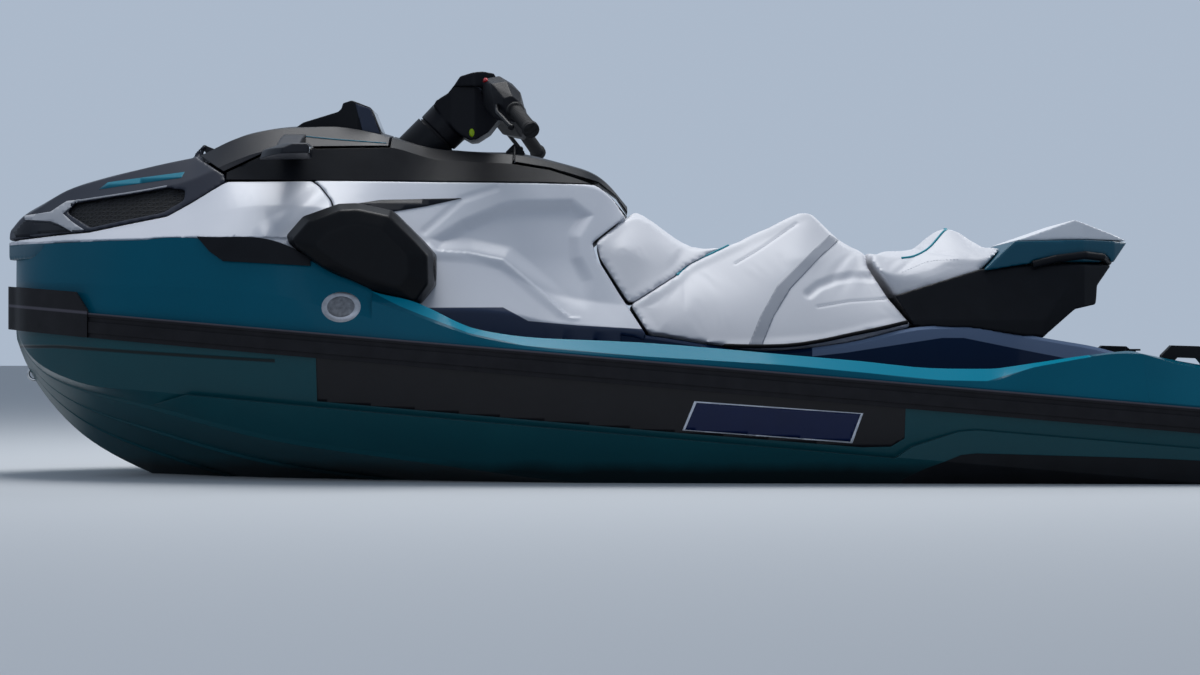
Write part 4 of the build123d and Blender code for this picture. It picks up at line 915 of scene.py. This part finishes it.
def plumped(cushion, seams, shrink_mm=3.0, cap_mm=6.5, grip_mm=38):
    """Fill a cushion as cloth under pressure, held along its seams as seen from the side."""
    place, normal = points_and_normals(cushion)
    u, v = place[:, 0], place[:, 2]
    near = np.min([line_distance(u, v, line) for line in seams], axis=0)
    grip = 1 - soft_step(near - SEWN_HALF, grip_mm / 1000)
    move_points(cushion, place - normal * (shrink_mm / 1000 * (1 - grip))[:, None])
    group = cushion.vertex_groups.new(name="sewn")
    for index in np.nonzero(grip > SEWN_LEAST)[0]:
        group.add([int(index)], float(grip[index]), "REPLACE")
    cloth = cushion.modifiers.new("filling", "CLOTH")
    cloth.settings.vertex_group_mass = "sewn"
    cloth.settings.use_pressure = True
    cloth.settings.uniform_pressure_force = FILL_PRESSURE
    cloth.settings.effector_weights.gravity = 0.0
    cloth.point_cache.frame_end = FILL_FRAMES
    for frame_number in range(1, FILL_FRAMES + 1):
        bpy.context.scene.frame_set(frame_number)
    move = points_and_normals(as_shown(cushion))[0] - place
    length = np.linalg.norm(move, axis=1, keepdims=True)
    move *= np.minimum(1, cap_mm / 1000 / np.maximum(length, HAIR))
    cushion.modifiers.clear()
    cushion.vertex_groups.clear()
    move_points(cushion, place + move)
    cushion.modifiers.new("round", "SUBSURF").levels = 1
    bake(cushion)


FOOT_SEAM = ((-60, 331), (200, 328), (380, 341), (452, 356), (560, 380), (612, 392))
FOOT_WELT = ((-40, 338), (80, 338), (200, 334), (300, 336), (380, 347), (452, 362), (530, 378), (604, 395))
FRONT_SEAM = ((-76, 706), (-76, 700), (-94, 676), (-183, 600), (-172, 558), (-44, 357))
AFT_SEAM = ((612, 388), (560, 455), (517, 536), (516, 572))
CUSHION_SEAM = ((-103, 434), (26, 516), (57, 544), (120, 575), (217, 622), (345, 682), (420, 724))
REAR_SEAM = ((522, 590), (526, 572), (527, 548), (586, 456), (663, 480), (780, 517), (792, 523), (872, 598))
driver = fine_copy("driver_cushion", vinyl, "driver_seat", 9, 4)
middle = fine_copy("middle_cushion", vinyl, "middle_seat", 8, 3)
rear = fine_copy("rear_cushion", vinyl, "rear_seat", 8, 4)
plumped(driver, (FRONT_SEAM, CUSHION_SEAM))
plumped(middle, (CUSHION_SEAM, FOOT_SEAM, AFT_SEAM, FRONT_SEAM))
plumped(rear, (REAR_SEAM,))
place, normal = points_and_normals(middle)
u, v = place[:, 0], place[:, 2]
fold = FOLD_DEPTH * near_line(u, v, SEAT_FOLD, FOLD_WIDTH)
seam = sum(STITCH_SINK * near_line(u, v, line, STITCH_WIDTH) for line in SEAT_STITCHES)
outer = soft_step(np.abs(normal[:, 1]), SIDE_ON)
move_points(middle, place - normal * ((fold + seam) * outer)[:, None])
middle_skin, rear_skin = skin_of(middle), skin_of(rear)
foot_skin = skin_of(nodes["middle_seat"])
# The black welt tube along the middle seat's foot covers the seat's junction with the deck; its black is also
# painted shade for the gap there.
gap_shade_welt = black_moulding("welt_rubber_black_gap_shade", "#0A0A0C", "#161619", 0.6, 1.0, 1.0)
for side, outward in SIDES:
    laid("seat_strap_" + side, strap_vinyl, middle_skin, STRAP, outward, 1.2, step_mm=6)
    run = traced(foot_skin, FOOT_WELT, outward, 8)
    tubes("seat_welt_gap_shade_" + side, gap_shade_welt, [run], 5.0)
    paths = [traced(middle_skin, line, outward, 2.0, 0.3) for line in SEAT_STITCHES]
    paths.append(traced(rear_skin, REAR_STITCH, outward, 2.0, 0.3))
    tubes("seat_stitches_" + side, thread, [dash for path in paths for dash in stitched(path)], 0.7)
port_run, starboard_run = (traced(middle_skin, PIPING, outward, 4) for side, outward in SIDES)
tubes("seat_piping", piping_vinyl, [port_run + starboard_run[::-1]], 4.5)
tubes("rear_piping", piping_vinyl, [traced(rear_skin, REAR_PIPING, TOP, 4)], 3.5)

# Rear base, cover and cap: an ABS tray behind the seats, grained black, with a teal lacquered cover on it and
# a silver white cap on top. The tray's foot follows the deck's crest, and the grab bar lies in its groove.
BASE_FOOT = ((560, 250), (560, 398), (619, 388), (650, 379), (760, 381), (873, 363), (940, 351), (962, 370),
             (1010, 300), (1010, 250))
BASE_FOOT_HALF = 420
teal_lacquer = mottled("cover_lacquer_teal", "#02485C", "#045066", (200,), (30, 0.08, 1.5), roughness=0.35,
                       specular_ior_level=0.3)
cap_white = satin_film("cap_lacquer_white", "#DADCE2", "#E6E8EC", 0.35)
below_foot = side_block(BASE_FOOT, BASE_FOOT_HALF)
bmesh.ops.recalc_face_normals(below_foot, faces=below_foot.faces[:])
foot_cut = bpy.data.objects.new("base_foot", mesh_from("base_foot", below_foot))
tray = add_piece("base_tray", nodes["rear_base"].data.copy(), abs_black)
tray.modifiers.new("foot", "BOOLEAN").object = foot_cut
bake(tray)
even_out(tray, 4, 2)
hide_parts("rear_base")
bpy.data.objects.remove(foot_cut)
fine_copy("cover_shell", teal_lacquer, "handle_cover", 4, 2)
fine_copy("cap_shell", cap_white, "handle_cap", 4, 2)

# Jet drive: the pump housing, ring, nozzle and grate are sand-cast aluminium, fettled and anodised. Cast skin
# is slightly mottled and rough, so it shines softly; the impeller is machined, and the bucket is composite.
cast = mottled("jet_cast_aluminium", "#7C7E80", "#9A9C9E", (25, 4), (2.0, 0.15, 1.5), roughness=0.45,
               metallic=1.0)
dress(cast, "pump_housing", "trim_ring", "steering_nozzle", "intake_grate")
impeller_steel = mottled("impeller_stainless_machined", "#A0A2A4", "#BEC0C2", (10, 3), (1.0, 0.05, 0.8),
                         roughness=0.25, metallic=1.0)
dress(impeller_steel, "impeller")
dress(black_moulding("bucket_composite_black", "#101114", "#202227", 0.5), "reverse_bucket", "ride_plate")

# Mouldings as fitted: the shaped shells and cushions are finer than their flat parts need.
# Spare points come out last, flattest places first, so that edges, creases and seams keep theirs.
for share, names in (
    (0.45, ("middle_cushion", "base_tray")),
    (0.5, (*pair("knee_side"), *pair("pod_shell"), "visor_shell", "steering_cover", *pair("switch_housing"))),
    (0.6, ("driver_cushion", "rear_cushion", "hood_shell", "cover_shell", "cap_shell", *pair("front_side"))),
):
    for name in names:
        bpy.data.objects[name].modifiers.new("spare_points", "DECIMATE").ratio = share

# Studio: a pale matt floor at the waterline, three soft lamps and an even pale blue sky that looks brighter
# than the light it gives. The camera stands abeam to port at rail height, as the photograph's did.
EYE = (-0.172, -7.0, 0.332)
PHOTO_W, PHOTO_H, SENSOR_MM = 1200, 675, 36.0
FOCAL_PX, HORIZON_PY = 2660.0, 347.0
AIM = (0, 0, 0.4)
SKY_LIGHT, SKY_SEEN = 0.56, 0.34
FLOOR_HALF = 40
camera_data = bpy.data.cameras.new("camera")
camera_data.sensor_width = SENSOR_MM
camera_data.lens = FOCAL_PX / PHOTO_W * SENSOR_MM
camera = in_scene("camera", camera_data)
camera.location = EYE
camera.rotation_euler = (math.radians(90) + math.atan((HORIZON_PY - PHOTO_H / 2) / FOCAL_PX), 0, 0)
bpy.context.scene.camera = camera


def lamp(name, place, size, power, tint):
    """Square soft light at a place, aimed at the craft."""
    data = bpy.data.lights.new(name, "AREA")
    data.size = size
    data.energy = power
    data.color = linear(tint)[:3]
    made = in_scene(name, data)
    made.location = place
    made.rotation_euler = (Vector(AIM) - Vector(place)).to_track_quat("-Z", "Y").to_euler()


lamp("key", (-0.5, 0.9, 4.6), 2.6, 170, "#FFFFFF")
lamp("fill", (-1.5, -6.0, 2.2), 4.0, 30, "#E6EFFF")
lamp("rim", (3.5, 3.0, 3.0), 2.5, 70, "#FFFFFF")

world = bpy.data.worlds.new("studio")
bpy.context.scene.world = world
world.use_nodes = True
tree = world.node_tree
ray = put(tree, "ShaderNodeLightPath").outputs
seen = math_of(tree, "MAXIMUM", ray["Is Camera Ray"], ray["Is Glossy Ray"])
seen = math_of(tree, "MAXIMUM", seen, ray["Is Transmission Ray"])
sky = tree.nodes["Background"].inputs
sky["Color"].default_value = linear("#B4C2D4")
tree.links.new(math_of(tree, "MULTIPLY_ADD", seen, SKY_SEEN, SKY_LIGHT), sky["Strength"])

floor_mesh = bpy.data.meshes.new("floor")
corners = [(a * FLOOR_HALF, b * FLOOR_HALF, 0) for a, b in ((-1, -1), (1, -1), (1, 1), (-1, 1))]
floor_mesh.from_pydata(corners, [], [(0, 1, 2, 3)])
floor = in_scene("floor", floor_mesh)
floor_paint, tree, shader = new_finish("floor_matt_pale", roughness=0.9)
shader.inputs["Base Color"].default_value = linear("#C4C8CC")
floor_mesh.materials.append(floor_paint)

bpy.context.scene.view_settings.view_transform = "Standard"
